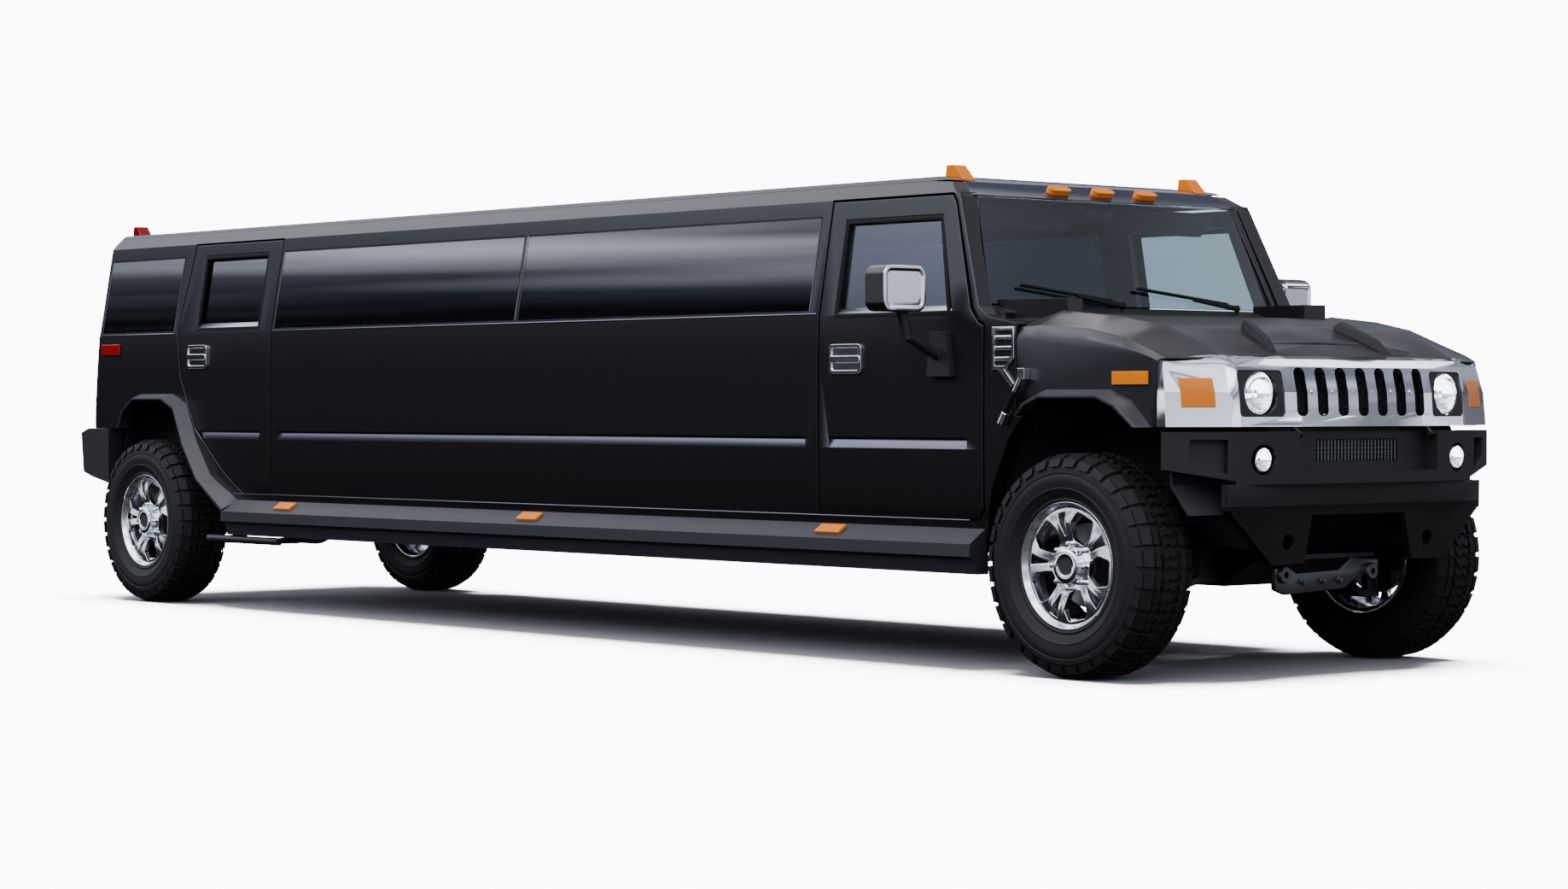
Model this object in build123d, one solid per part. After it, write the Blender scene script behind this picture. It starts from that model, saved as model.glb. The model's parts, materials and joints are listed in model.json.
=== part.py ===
"""Stretch limousine on a heavy four-wheel-drive chassis: one STEP file for each sub-part.

Frame: +X forward, +Y to the vehicle's left, +Z up, millimetres, ground at Z = 0, origin at mid length.
Side outlines are (x, z) points, plan outlines (x, y) points and cross sections (y, z) points.
The left half is modelled (+Y) and mirrored to the right.
"""
import os
from math import cos, hypot, radians, sin

from build123d import *

os.makedirs("parts", exist_ok=True)

# ---- driving dimensions ---------------------------------------------------------------------------
FRONT_OVERHANG = 674.0     # front axle to front bumper face
WHEELBASE = 6960.0
REAR_OVERHANG = 720.0
TRACK = 1740.0
TYRE_RADIUS = 436.0        # 300 wide, on a rim of 498 over the lips

LENGTH = FRONT_OVERHANG + WHEELBASE + REAR_OVERHANG
X_FRONT = LENGTH / 2 - FRONT_OVERHANG
X_REAR = X_FRONT - WHEELBASE
X_NOSE = LENGTH / 2
X_TAIL = -LENGTH / 2
Y_WHEEL = TRACK / 2

# heights of the body's lines
Z_SILL = 470.0             # underside of the body side
Z_DOOR = 594.0             # lower edge of the doors
Z_CREASE = 658.0           # lower crease along the doors
Z_STRIP_LOW = 880.0        # recessed rubbing strip
Z_STRIP_TOP = 924.0
Z_SHOULDER = 1250.0
Z_BELT = 1425.0            # window line
Z_GUTTER = 1915.0          # top of the doors
Z_ROOF_EDGE = 1990.0
Z_ROOF = 2008.0
Z_FLOOR = 680.0            # top of the cabin floor
FLOOR_THICK = 40.0

# half widths of the same lines
Y_SILL = 932.0
Y_DOOR = 940.0
Y_CREASE = 952.0
Y_SIDE = 955.0
Y_BELT = 950.0
Y_GUTTER = 865.0
Y_ROOF_EDGE = 800.0
Y_FLARE = 1025.0           # over the arch flares and the sill cladding
Y_HINGE = 937.0            # door hinge line, upright inside the skin

SIDE_WALL = 75.0           # whole wall, skin to trim
DOOR_THICK = 70.0
ROOF_THICK = 38.0
GLASS_THICK = 6.0
REBATE = 8.0               # flush panes lie in a step this deep
PANE_LAP = 25.0            # bonding lap round a flush pane
GAP = 10.0                 # shut line round a door
INNER_STEP = 16.0          # the door's inner part stands back this much more at its latch edge
SKIN_DEPTH = 20.0          # depth of the door's outer step
HINGE_INSET = 50.0         # door hinge line behind its opening's front edge
PIN_RADIUS = 3.0
PIN_GAP = 0.3              # between a turning piece and what carries it

# stations behind the front axle (front door, stretch panel) and the rear axle (rear door, tail)
X_COWL_SEAM = X_FRONT - 309.0      # between the tilting front and the cowl side
X_DOOR1_FRONT = X_FRONT - 495.0
X_DOOR1_REAR = X_FRONT - 1500.0
X_DOOR2_FRONT = X_REAR + 1198.0
X_BODY_REAR = X_REAR - 600.0
X_TAIL_TOP = X_REAR - 560.0

BODY_SECTION = (           # y, z of the outer skin, from the sill up
    (Y_SILL, Z_SILL),
    (Y_DOOR, Z_DOOR),
    (Y_CREASE, Z_CREASE),
    (Y_SIDE, Z_STRIP_LOW),
    (Y_SIDE, Z_SHOULDER),
    (Y_BELT, Z_BELT),
    (Y_GUTTER, Z_GUTTER),
    (Y_ROOF_EDGE, Z_ROOF_EDGE),
)


# ---- helpers --------------------------------------------------------------------------------------
def prism(points, travel):
    """A polygon pushed along a vector."""
    return Solid.extrude(Face(Wire.make_polygon(points, close=True)), Vector(*travel))


def side_prism(outline, y_low, y_high):
    """Side-view outline (x, z) between two Y values."""
    return prism([(x, y_low, z) for x, z in outline], (0, y_high - y_low, 0))


def plan_prism(outline, z_low, z_high):
    """Plan outline (x, y) between two heights."""
    return prism([(x, y, z_low) for x, y in outline], (0, 0, z_high - z_low))


def cross_prism(section, x_low, x_high):
    """Cross section (y, z) between two stations."""
    return prism([(x_low, y, z) for y, z in section], (x_high - x_low, 0, 0))


def block(x_low, x_high, y_low, y_high, z_low, z_high):
    """A box from its limits."""
    return plan_prism(((x_low, y_low), (x_high, y_low), (x_high, y_high), (x_low, y_high)), z_low, z_high)


def rounded(outline, radius):
    """Closed wire in XY through the points with every corner rounded."""
    return FilletPolyline(*outline, radius=radius, close=True).wires()[0]


def rounded_side_prism(outline, radius, y_low, y_high):
    """Side-view outline with rounded corners between two Y values."""
    wire = rounded([(x, z) for x, z in outline], radius)
    face = Plane(origin=(0, y_low, 0), x_dir=(1, 0, 0), z_dir=(0, -1, 0)) * Face(wire)
    return Solid.extrude(face, Vector(0, y_high - y_low, 0))


def rounded_front_prism(outline, radius, x_low, x_high):
    """Front-view outline (y, z) with rounded corners between two stations."""
    wire = rounded([(y, z) for y, z in outline], radius)
    face = Plane(origin=(x_low, 0, 0), x_dir=(0, 1, 0), z_dir=(1, 0, 0)) * Face(wire)
    return Solid.extrude(face, Vector(x_high - x_low, 0, 0))


def rod(start, end, radius):
    """A round bar between two points."""
    path = Vector(*end) - Vector(*start)
    return Solid.make_cylinder(radius, path.length, Plane(origin=start, z_dir=path))


def frustum(start_points, end_points):
    """Ruled solid between two polygons with as many points."""
    return Solid.make_loft(
        [Wire.make_polygon(start_points, close=True), Wire.make_polygon(end_points, close=True)], ruled=True
    )


def ruled(sections):
    """Ruled solid through a list of polygons."""
    return Solid.make_loft([Wire.make_polygon(points, close=True) for points in sections], ruled=True)


def mirrored(shape):
    """The same piece on the other side of the vehicle."""
    return shape.mirror(Plane.XZ)


def spinning(section, centre, first=0.0, turn=360.0):
    """Section of (radius, y) points revolved about the wheel axis through the centre."""
    x, y, z = centre
    face = Face(Wire.make_polygon([(x + r, y + along, z) for r, along in section], close=True))
    return Solid.revolve(face, turn, Axis((x, y, z), (0, 1, 0)))


def skin_section(depth_out, depth_in, low, high):
    """Cross section of the side wall between two depths under the skin and two heights."""
    outer = [p for p in section_between(low, high)]
    return [(y - depth_out, z) for y, z in outer] + [(y - depth_in, z) for y, z in reversed(outer)]


def skin_y(height):
    """Half width of the outer skin at a height."""
    for (y0, z0), (y1, z1) in zip(BODY_SECTION, BODY_SECTION[1:]):
        if z0 <= height <= z1:
            return y0 + (y1 - y0) * (height - z0) / (z1 - z0)
    raise ValueError(height)


def section_between(low, high):
    """Skin points from one height to another."""
    inside = [(y, z) for y, z in BODY_SECTION if low < z < high]
    return [(skin_y(low), low), *inside, (skin_y(high), high)]


def wall(depth_out, depth_in, low, high, x_low, x_high):
    """A stretch of the left side wall."""
    return cross_prism(skin_section(depth_out, depth_in, low, high), x_low, x_high)


def inset_outline(outline, amount):
    """Side-view polygon moved in by an amount all round (points run anticlockwise)."""
    moved = []
    count = len(outline)
    for i in range(count):
        (x0, z0), (x1, z1), (x2, z2) = outline[i - 1], outline[i], outline[(i + 1) % count]
        a, b = hypot(x1 - x0, z1 - z0), hypot(x2 - x1, z2 - z1)
        n0 = (-(z1 - z0) / a, (x1 - x0) / a)
        n1 = (-(z2 - z1) / b, (x2 - x1) / b)
        scale = amount / (1 + n0[0] * n1[0] + n0[1] * n1[1])
        moved.append((x1 + (n0[0] + n1[0]) * scale, z1 + (n0[1] + n1[1]) * scale))
    return moved


def save(name, *solids):
    """Write one sub-part."""
    flat = []
    for solid in solids:
        flat.extend(solid.solids())
    shape = flat[0] if len(flat) == 1 else Compound(children=flat)
    export_step(shape, f"parts/{name}.step")


# ---- outlines shared by neighbours ----------------------------------------------------------------
def from_front(points):
    """Points measured from the front axle."""
    return [(X_FRONT + x, z) for x, z in points]


def from_rear(points):
    """Points measured from the rear axle."""
    return [(X_REAR + x, z) for x, z in points]


Z_RAIL = 1972.0            # the roof panel sits on the side walls here
HOOD_SEAM = 8.0            # gap round the tilting front
Z_HOOD_LOW = 972.0         # lower edge of the tilting front at the nose
Z_HOOD_LOW_REAR = 1022.0

ARCH_REAR_OPEN = from_rear((
    (-235, 930), (-180, 1024), (-80, 1086), (220, 1086), (340, 1036), (435, 845), (574, 667), (830, 505),
))
ARCH_REAR_OUTER = from_rear((
    (-280, 930), (-220, 1055), (-100, 1126), (240, 1126), (380, 1070), (485, 870), (615, 700), (865, 565),
))
ARCH_FRONT_OPEN = from_front((
    (-240, 1022), (-205, 1055), (-125, 1084), (180, 1084), (270, 1050), (375, 972),
))
ARCH_FRONT_OUTER = from_front((
    (-285, 1022), (-250, 1090), (-155, 1126), (200, 1124), (315, 1082), (418, 972),
))
COWL_ARCH = from_front(((-505, Z_SILL), (-484, 600), (-446, 745), (-356, 925), (-280, 1014)))

DOOR1_OPENING = [          # anticlockwise: x forward, z up
    (X_DOOR1_REAR, Z_DOOR),
    (X_DOOR1_FRONT - 40, Z_DOOR), (X_DOOR1_FRONT, 640), (X_DOOR1_FRONT, 1378),
    *from_front(((-520, 1392), (-567, 1450), (-735, 1880))),
    (X_FRONT - 765, Z_GUTTER),
    (X_DOOR1_REAR, Z_GUTTER),
]
LEAF_RELIEF = 10.0         # the front door stands back this much more above its hinge line
DOOR1_LEAF = [
    (x - LEAF_RELIEF, z) if z in (1392, 1450) else (x, z) for x, z in DOOR1_OPENING
]
DOOR2_OPENING = [
    (X_DOOR2_FRONT, Z_DOOR),
    (X_DOOR2_FRONT, Z_GUTTER),
    *from_rear(((335, Z_GUTTER), (265, 1471), (309, 1207), (457, 935), (732, 713), (925, Z_DOOR))),
]
DOOR1_WINDOW = [
    (X_DOOR1_REAR + 100, 1436), *from_front(((-690, 1436), (-812, 1828))), (X_DOOR1_REAR + 100, 1828),
]
DOOR2_WINDOW = [
    (X_REAR + 455, 1466), (X_DOOR2_FRONT - 115, 1466), (X_DOOR2_FRONT - 125, 1848), (X_REAR + 445, 1848),
]
Z_PANE_LOW = 1446.0        # flush panes of the stretched section
Z_PANE_TOP = 1846.0
X_PANE_FRONT = X_DOOR1_REAR - 56.0
X_PANE_REAR = X_DOOR2_FRONT + 22.0
X_PANE_SPLIT = (X_PANE_FRONT + X_PANE_REAR) / 2 - 10.0
PANE_JOINT = 12.0
X_QUARTER_FRONT = X_REAR + 236.0
X_QUARTER_REAR = X_TAIL_TOP + 30.0

BODY_OUTLINE = [           # left side wall seen from the side, anticlockwise
    *COWL_ARCH,
    *from_front(((-317, 1014), (-317, 1378), (-480, 1408), (-535, 1450), (-722, 1900), (-822, 1963))),
    (X_FRONT - 960, Z_RAIL),
    (X_TAIL_TOP + 15, Z_RAIL),
    (X_TAIL_TOP, 1940),
    (X_TAIL_TOP, 1470),
    (X_BODY_REAR, 985),
    (X_BODY_REAR, 930),
    *ARCH_REAR_OPEN,
    (X_REAR + 855, Z_SILL),
]


def envelope():
    """Everything inside the left skin, for seating what lies on it."""
    return cross_prism([(0, Z_SILL), *BODY_SECTION, (0, Z_ROOF_EDGE)], X_TAIL, X_NOSE)


def pane_block(outline, low, high, inner=REBATE):
    """Flush pane: the outermost slab of the wall within an outline."""
    x_values = [x for x, _ in outline]
    slab = wall(0, inner, low, high, min(x_values), max(x_values))
    return slab & side_prism(outline, 0, Y_FLARE)


def rectangle(x_low, x_high, z_low, z_high):
    """Side-view rectangle, anticlockwise."""
    return [(x_low, z_low), (x_high, z_low), (x_high, z_high), (x_low, z_high)]


FLUSH_PANES = (            # rear end, front end of each flush pane
    (X_PANE_REAR, X_PANE_SPLIT - PANE_JOINT / 2),
    (X_PANE_SPLIT + PANE_JOINT / 2, X_PANE_FRONT),
    (X_QUARTER_REAR, X_QUARTER_FRONT),
)


def flush_panes():
    """Flush side glass on the left."""
    return [
        pane_block(rectangle(x0, x1, Z_PANE_LOW, Z_PANE_TOP), Z_PANE_LOW, Z_PANE_TOP) for x0, x1 in FLUSH_PANES
    ]


STRIP_DEPTH = 14.0
STRIPS = (                 # rear end, front end of the recessed strips on the fixed panel
    (X_DOOR2_FRONT + 75, X_DOOR1_REAR - 76),
)


def strip_cut(x_low, x_high):
    """Recess of the rubbing strip: undercut top, sloping floor running out at its lower edge."""
    section = (
        (Y_SIDE + 5, Z_STRIP_TOP),
        (Y_SIDE - STRIP_DEPTH, Z_STRIP_TOP - 4),
        (Y_SIDE - STRIP_DEPTH, Z_STRIP_TOP - 10),
        (Y_SIDE + 1, Z_STRIP_LOW - 2),
        (Y_SIDE + 5, Z_STRIP_LOW - 2),
    )
    return cross_prism(section, x_low, x_high)


def a_pillar():
    """Slanting face between the windscreen and the door frame."""
    low = ((-535, 945), (-573, 840), (-625, 840), (-625, 866), (-592, 866))
    top = ((-722, 866), (-742, 758), (-795, 758), (-795, 788), (-768, 788))
    z_low, z_top = 1450.0, 1900.0

    def points(share):
        z = z_low + (z_top - z_low) * share
        return [
            (X_FRONT + a[0] + (b[0] - a[0]) * share, a[1] + (b[1] - a[1]) * share, z) for a, b in zip(low, top)
        ]

    return frustum(points(-0.06), points(1.04))


def body_side():
    """Left side wall with its door and window openings."""
    side = wall(0, SIDE_WALL, Z_SILL, Z_RAIL, X_BODY_REAR, X_FRONT - 200)
    side = side & side_prism(BODY_OUTLINE, 0, Y_FLARE)
    side = side + a_pillar()
    for opening in (DOOR1_OPENING, DOOR2_OPENING):
        side -= side_prism(opening, 700, Y_FLARE)
    for (x0, x1), pane in zip(FLUSH_PANES, flush_panes()):
        hole = rectangle(x0 + PANE_LAP, x1 - PANE_LAP, Z_PANE_LOW + PANE_LAP, Z_PANE_TOP - PANE_LAP)
        side = side - side_prism(hole, 700, Y_FLARE) - pane
    for x0, x1 in STRIPS:
        side -= strip_cut(x0, x1)
    return side


def door_solid(opening, window, strip, hinge_x, pin_top):
    """Whole door: outer skin part, the inner part that stands back at the edges, and its hinge pins."""
    skin = wall(0, SKIN_DEPTH, Z_DOOR, Z_GUTTER, opening_low(opening), opening_high(opening))
    inner = wall(SKIN_DEPTH, DOOR_THICK, Z_DOOR, Z_GUTTER, opening_low(opening), opening_high(opening))
    door = skin & side_prism(inset_outline(opening, GAP), 0, Y_FLARE)
    door = door + (inner & side_prism(inset_outline(opening, GAP + INNER_STEP), 0, Y_FLARE))
    door = door - side_prism(window, 700, Y_FLARE) - strip_cut(*strip)
    door = door + rod((hinge_x, Y_HINGE, Z_DOOR + PIN_GAP), (hinge_x, Y_HINGE, Z_DOOR + 60), PIN_RADIUS)
    if pin_top:
        door = door + rod((hinge_x, Y_HINGE, pin_top - 60), (hinge_x, Y_HINGE, pin_top), PIN_RADIUS)
    return door - door_glass(window)


def opening_low(outline):
    return min(x for x, _ in outline)


def opening_high(outline):
    return max(x for x, _ in outline)


WINDOW_DEPTH = 22.0        # door glass behind the skin
WINDOW_LAP = 12.0          # glass held in the frame's channel


def door_glass(window):
    """Door pane, its edge in the frame's channel."""
    outline = inset_outline(window, -WINDOW_LAP)
    low, high = min(z for _, z in outline), max(z for _, z in outline)
    slab = wall(WINDOW_DEPTH, WINDOW_DEPTH + GLASS_THICK, low, high, opening_low(outline), opening_high(outline))
    return slab & side_prism(outline, 0, Y_FLARE)


# ---- body shell -----------------------------------------------------------------------------------
left_side = body_side()
save("body_side_left", left_side)
save("body_side_right", mirrored(left_side))
panes = flush_panes()
save("side_glass", *panes, *[mirrored(pane) for pane in panes])

X_HINGE_FRONT = X_DOOR1_FRONT - HINGE_INSET
X_HINGE_REAR = X_DOOR2_FRONT - HINGE_INSET
PIN_TOP_FRONT = 1392.0 + (X_FRONT - 520 - X_HINGE_FRONT - PIN_RADIUS) * 58 / 47 - PIN_GAP
DOORS = (                  # name, opening, window, strip ends, hinge station, top of the upper pin
    ("front", DOOR1_LEAF, DOOR1_WINDOW, (X_DOOR1_REAR + 76, X_FRONT - 595), X_HINGE_FRONT, PIN_TOP_FRONT),
    ("rear", DOOR2_OPENING, DOOR2_WINDOW, (X_REAR + 505, X_DOOR2_FRONT - 105), X_HINGE_REAR, None),
)
for name, opening, window, strip, hinge_x, pin_top in DOORS:
    door = door_solid(opening, window, strip, hinge_x, pin_top)
    glass = door_glass(window)
    save(f"door_{name}_left", door)
    save(f"door_{name}_right", mirrored(door))
    save(f"door_{name}_glass_left", glass)
    save(f"door_{name}_glass_right", mirrored(glass))


# ---- roof, windscreen, cowl -----------------------------------------------------------------------
def inner_space():
    """The space between the side walls, both sides."""
    half = [(y - SIDE_WALL, z) for y, z in section_between(Z_SILL, Z_RAIL)]
    return cross_prism([*half, *[(-y, z) for y, z in reversed(half)]], X_TAIL, X_NOSE)


INSIDE = inner_space()
Z_SCREEN_LOW = 1463.0
Z_HEADER = 1903.0


def screen_corner(height):
    """Outer edge of the windscreen on the left at a height: x, y."""
    share = (height - 1450.0) / 450.0
    return X_FRONT - 573 - 169 * share, 840 - 82 * share


def roof_panel():
    """Crowned roof skin with the sloping windscreen header."""
    y_rail = skin_y(Z_RAIL)
    crown = ThreePointArc((0, Y_ROOF_EDGE, Z_ROOF_EDGE), (0, 0, Z_ROOF), (0, -Y_ROOF_EDGE, Z_ROOF_EDGE))
    under = Polyline(
        (0, -Y_ROOF_EDGE, Z_ROOF_EDGE), (0, -y_rail, Z_RAIL), (0, -y_rail + SIDE_WALL, Z_RAIL),
        (0, -700, Z_RAIL - 5), (0, 0, Z_ROOF - ROOF_THICK), (0, 700, Z_RAIL - 5),
        (0, y_rail - SIDE_WALL, Z_RAIL), (0, y_rail, Z_RAIL), (0, Y_ROOF_EDGE, Z_ROOF_EDGE),
    )
    face = Face(Wire([*crown.edges(), *under.edges()]))
    skin = Solid.extrude(face, Vector(X_FRONT - X_TAIL, 0, 0)).moved(Location((X_TAIL, 0, 0)))
    outline = [
        (X_TAIL_TOP + 15, Z_RAIL - 40), *from_front(((-822, Z_RAIL - 40), (-822, 1963), (-872, 1984), (-965, 1998))),
        (X_FRONT - 1150, Z_ROOF + 5), (X_TAIL_TOP + 60, Z_ROOF + 5), (X_TAIL_TOP + 15, Z_RAIL + 5),
    ]
    skin = skin & side_prism(outline, -Y_SIDE, Y_SIDE)
    header_outline = from_front(
        ((-810, Z_HEADER), (-744, Z_HEADER), (-735, 1908), (-822, 1964), (-880, 1974), (-880, 1958))
    )
    header = side_prism(header_outline, -Y_SIDE, Y_SIDE) & INSIDE
    header = header - a_pillar() - mirrored(a_pillar())
    return skin + header


def windscreen():
    """Flat laminated pane between the pillars."""
    (xl, yl), (xt, yt) = screen_corner(Z_SCREEN_LOW), screen_corner(Z_HEADER)
    slope = hypot(xt - xl, Z_HEADER - Z_SCREEN_LOW)
    normal = ((Z_HEADER - Z_SCREEN_LOW) / slope, (xl - xt) / slope)
    corners = [(xl, -yl, Z_SCREEN_LOW), (xl, yl, Z_SCREEN_LOW), (xt, yt, Z_HEADER), (xt, -yt, Z_HEADER)]
    return prism(corners, (-GLASS_THICK * normal[0], 0, -GLASS_THICK * normal[1]))


POD = (                    # plan of the left cowl pod, from the front axle
    (-545, 690), (-235, 665), (-212, 772), (-545, 832),
)
Z_POD = 1478.0
Z_SHELF = 1398.0
X_HOOD_REAR = X_FRONT - 448.0      # hood edge between the pods
X_HOOD_POD = X_FRONT - 203.0       # hood edge ahead of the pods
Y_HOOD_POD = 650.0


def cowl():
    """Firewall, cowl top under the windscreen, and the raised pods at the hood's rear corners."""
    outline = from_front((
        (-650, Z_FLOOR), (-615, Z_FLOOR), (-615, 1370), (-456, 1385), (-456, 1424), (-570, 1456), (-600, 1456),
        (-650, 1410),
    ))
    body = side_prism(outline, -Y_SIDE, Y_SIDE) & INSIDE
    shelf_front = X_HOOD_POD - HOOD_SEAM
    shelf = plan_prism(
        (
            (X_FRONT - 616, Y_HOOD_POD + HOOD_SEAM), (shelf_front, Y_HOOD_POD + HOOD_SEAM), (shelf_front, 792),
            (X_FRONT - 330, 868), (X_FRONT - 616, 868),
        ),
        Z_SHELF - 28, Z_SHELF,
    )
    pod = plan_prism([(X_FRONT + x, y) for x, y in POD], Z_SHELF, Z_POD)
    for piece in (shelf, mirrored(shelf), pod, mirrored(pod)):
        body = body + piece
    return body - a_pillar() - mirrored(a_pillar())


# ---- rear wall and tailgate -----------------------------------------------------------------------
REAR_THICK = 70.0
Z_GATE_LOW = 960.0
Z_GATE_TOP = 1890.0
GATE_HALF = ((800, Z_GATE_LOW), (812, Z_BELT), (735, Z_GATE_TOP))    # y, z of the gate opening's edge
GATE_GAP = 10.0
GATE_WINDOW = ((660, 1490), (612, 1815))                              # y, z of the window's corners
X_PLATE = X_BODY_REAR + 34.0       # floor of the number-plate recess
Z_PLATE = 1150.0
PLATE_HOLES = 178.0                # between the two fixing holes
PLATE_HOLE = 3.2                   # radius
PLATE_HOLE_DEPTH = 25.0
X_GATE_HINGE = X_TAIL_TOP + 8.0
Z_GATE_HINGE = Z_GATE_TOP - 22.0


def rear_slab(depth_out, depth_in, low=930.0, high=Z_RAIL):
    """Slab of the rear wall between two depths under its outer face."""
    line = ((X_BODY_REAR, low), (X_BODY_REAR, 985.0), (X_TAIL_TOP, 1470.0), (X_TAIL_TOP, high))
    points = [(x + depth_out, z) for x, z in line] + [(x + depth_in, z) for x, z in reversed(line)]
    return side_prism(points, -Y_SIDE, Y_SIDE)


def gate_prism(shrink):
    """Front-view outline of the tailgate opening, moved in by an amount."""
    (y0, z0), (y1, z1), (y2, z2) = GATE_HALF
    half = [(y0 - shrink, z0 + shrink), (y1 - shrink, z1), (y2 - shrink, z2 - shrink)]
    return cross_prism([*half, *[(-y, z) for y, z in reversed(half)]], X_TAIL, X_TAIL_TOP + 500)


def window_prism(grow):
    """Front-view outline of the tailgate window, moved out by an amount."""
    (y0, z0), (y1, z1) = GATE_WINDOW
    half = [(y0 + grow, z0 - grow), (y1 + grow, z1 + grow)]
    return cross_prism([*half, *[(-y, z) for y, z in reversed(half)]], X_TAIL, X_TAIL_TOP + 500)


def rear_frame(roof):
    """Frame round the tailgate opening, up to the roof and down to the floor."""
    return (rear_slab(0, REAR_THICK, Z_FLOOR - FLOOR_THICK) & INSIDE) - gate_prism(0) - roof


def tailgate():
    """Top-hinged gate with its window opening and a number-plate recess."""
    gate = rear_slab(0, REAR_THICK) & gate_prism(GATE_GAP)
    gate = gate - window_prism(0) - tailgate_glass()
    gate = gate - block(X_BODY_REAR - 20, X_PLATE, -165, 165, Z_PLATE - 80, Z_PLATE + 90)
    for y in (-PLATE_HOLES / 2, PLATE_HOLES / 2):
        gate = gate - rod((X_PLATE - 5, y, Z_PLATE + 60), (X_PLATE + PLATE_HOLE_DEPTH, y, Z_PLATE + 60), PLATE_HOLE)
    (_, _), (y_belt, z_belt), (y_top, z_top) = GATE_HALF
    lean = (y_belt - y_top) / (z_top - z_belt)
    reach = y_top + (z_top - Z_GATE_HINGE - PIN_RADIUS) * lean - PIN_GAP
    pins = rod((X_GATE_HINGE, -reach, Z_GATE_HINGE), (X_GATE_HINGE, reach, Z_GATE_HINGE), PIN_RADIUS)
    return gate + pins


def tailgate_glass():
    """Gate pane, its edge in the frame's channel."""
    return rear_slab(14, 14 + GLASS_THICK) & window_prism(WINDOW_LAP)


# ---- chassis --------------------------------------------------------------------------------------
Y_RAIL = 400.0             # middle of each frame rail
RAIL_WIDTH = 90.0
RAIL_LOW = 500.0
RAIL_TOP = Z_FLOOR - FLOOR_THICK
Y_RAIL_OUT = Y_RAIL + RAIL_WIDTH / 2
Y_RAIL_IN = Y_RAIL - RAIL_WIDTH / 2
X_RAIL_FRONT = X_FRONT + 575.0
X_RAIL_REAR = X_REAR - 590.0
CROSS_RADIUS = 32.0
CROSS_MEMBERS = (-1420, -2500, -3600, -4700, -5800)      # stations from the front axle

Y_LINER = Y_WHEEL - 380.0  # inner wall of the front wheelhouses
LINER = 12.0
Y_WELL = Y_WHEEL - 180.0   # inner wall of the rear wheelhouses
FRONT_LINER = (            # inner line of the front wheelhouse, from the axle
    (-512, 640), (-490, 760), (-400, 960), (-250, 1096), (200, 1096), (330, 1040), (415, 860), (425, 750),
    (512, 640),
)


def frame_rails():
    """Ladder frame: box rails, tubular cross members and bumper brackets."""
    frame = None
    for side in (1, -1):
        y0, y1 = sorted((side * Y_RAIL_IN, side * Y_RAIL_OUT))
        rail = block(X_RAIL_REAR, X_RAIL_FRONT, y0, y1, RAIL_LOW, RAIL_TOP)
        rail = rail - block(X_RAIL_REAR - 1, X_RAIL_FRONT + 1, y0 + 8, y1 - 8, RAIL_LOW + 8, RAIL_TOP - 8)
        bracket = block(X_RAIL_FRONT - 60, X_RAIL_FRONT, y0, y1, RAIL_TOP, 900)
        frame = rail if frame is None else frame + rail
        frame = frame + bracket
    z = (RAIL_LOW + RAIL_TOP) / 2 + 15
    for x in (*[X_FRONT + offset for offset in CROSS_MEMBERS], X_REAR - 420):
        frame = frame + rod((x, -Y_RAIL, z), (x, Y_RAIL, z), CROSS_RADIUS)
    return frame


WELL_FLOOR = Z_FLOOR - FLOOR_THICK
REAR_WELL = (              # inner line of the rear wheelhouse, from the axle
    (-480, WELL_FLOOR), (-480, 720), (-400, 880), (-240, 1015), (-180, 1050), (-80, 1100), (225, 1100), (350, 1045),
    (460, 880), (520, 760), (560, WELL_FLOOR),
)


def shell_over(outline, y_low, y_high, thick):
    """Arched liner over an outline, closed on its inboard side and open below."""
    line = list(reversed(outline))
    low = min(z for _, z in line)
    outer = side_prism(inset_outline(line, -thick), y_low - thick, y_high)
    above = block(X_TAIL, X_NOSE, 0, Y_FLARE, low, Z_ROOF)
    return (outer - side_prism([(x, z - (z == low)) for x, z in line], y_low, y_high + 1)) & above


def floor_pan():
    """Cabin floor with the rear wheelhouses standing on it."""
    floor = block(X_BODY_REAR + REAR_THICK, X_FRONT - 615, -Y_SIDE, Y_SIDE, WELL_FLOOR, Z_FLOOR) & INSIDE
    well = from_rear(REAR_WELL)
    for side in (1, -1):
        y_low, y_high = sorted((side * Y_WELL, side * Y_SIDE))
        floor = floor - block(X_REAR - 480, X_REAR + 560, y_low, y_high, WELL_FLOOR - 1, Z_FLOOR + 1)
        relief_low, relief_high = sorted((side * (Y_SIDE - SIDE_WALL - 16), side * Y_SIDE))
        floor = floor - block(
            X_HINGE_REAR - 20, X_DOOR2_FRONT + 10, relief_low, relief_high, WELL_FLOOR - 1, Z_FLOOR + 1
        )
    liner = shell_over(well, Y_WELL, Y_SIDE - SIDE_WALL - 6, LINER)
    return floor + liner + mirrored(liner)


def front_liner():
    """Left front wheelhouse liner, standing on the frame rail."""
    liner = shell_over(from_front(FRONT_LINER), Y_LINER, 866, LINER)
    foot = block(X_FRONT - 500, X_FRONT + 500, Y_RAIL_IN + 10, Y_LINER - 2, WELL_FLOOR, WELL_FLOOR + LINER)
    return liner + foot


def radiator():
    """Radiator core and its surround, behind the grille."""
    core = block(X_FRONT + 430, X_FRONT + 495, -395, 395, RAIL_TOP + 15, 1185)
    feet = block(X_FRONT + 430, X_FRONT + 495, -Y_RAIL_IN - 9, Y_RAIL_IN + 9, RAIL_TOP, RAIL_TOP + 30)
    return core + feet


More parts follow.
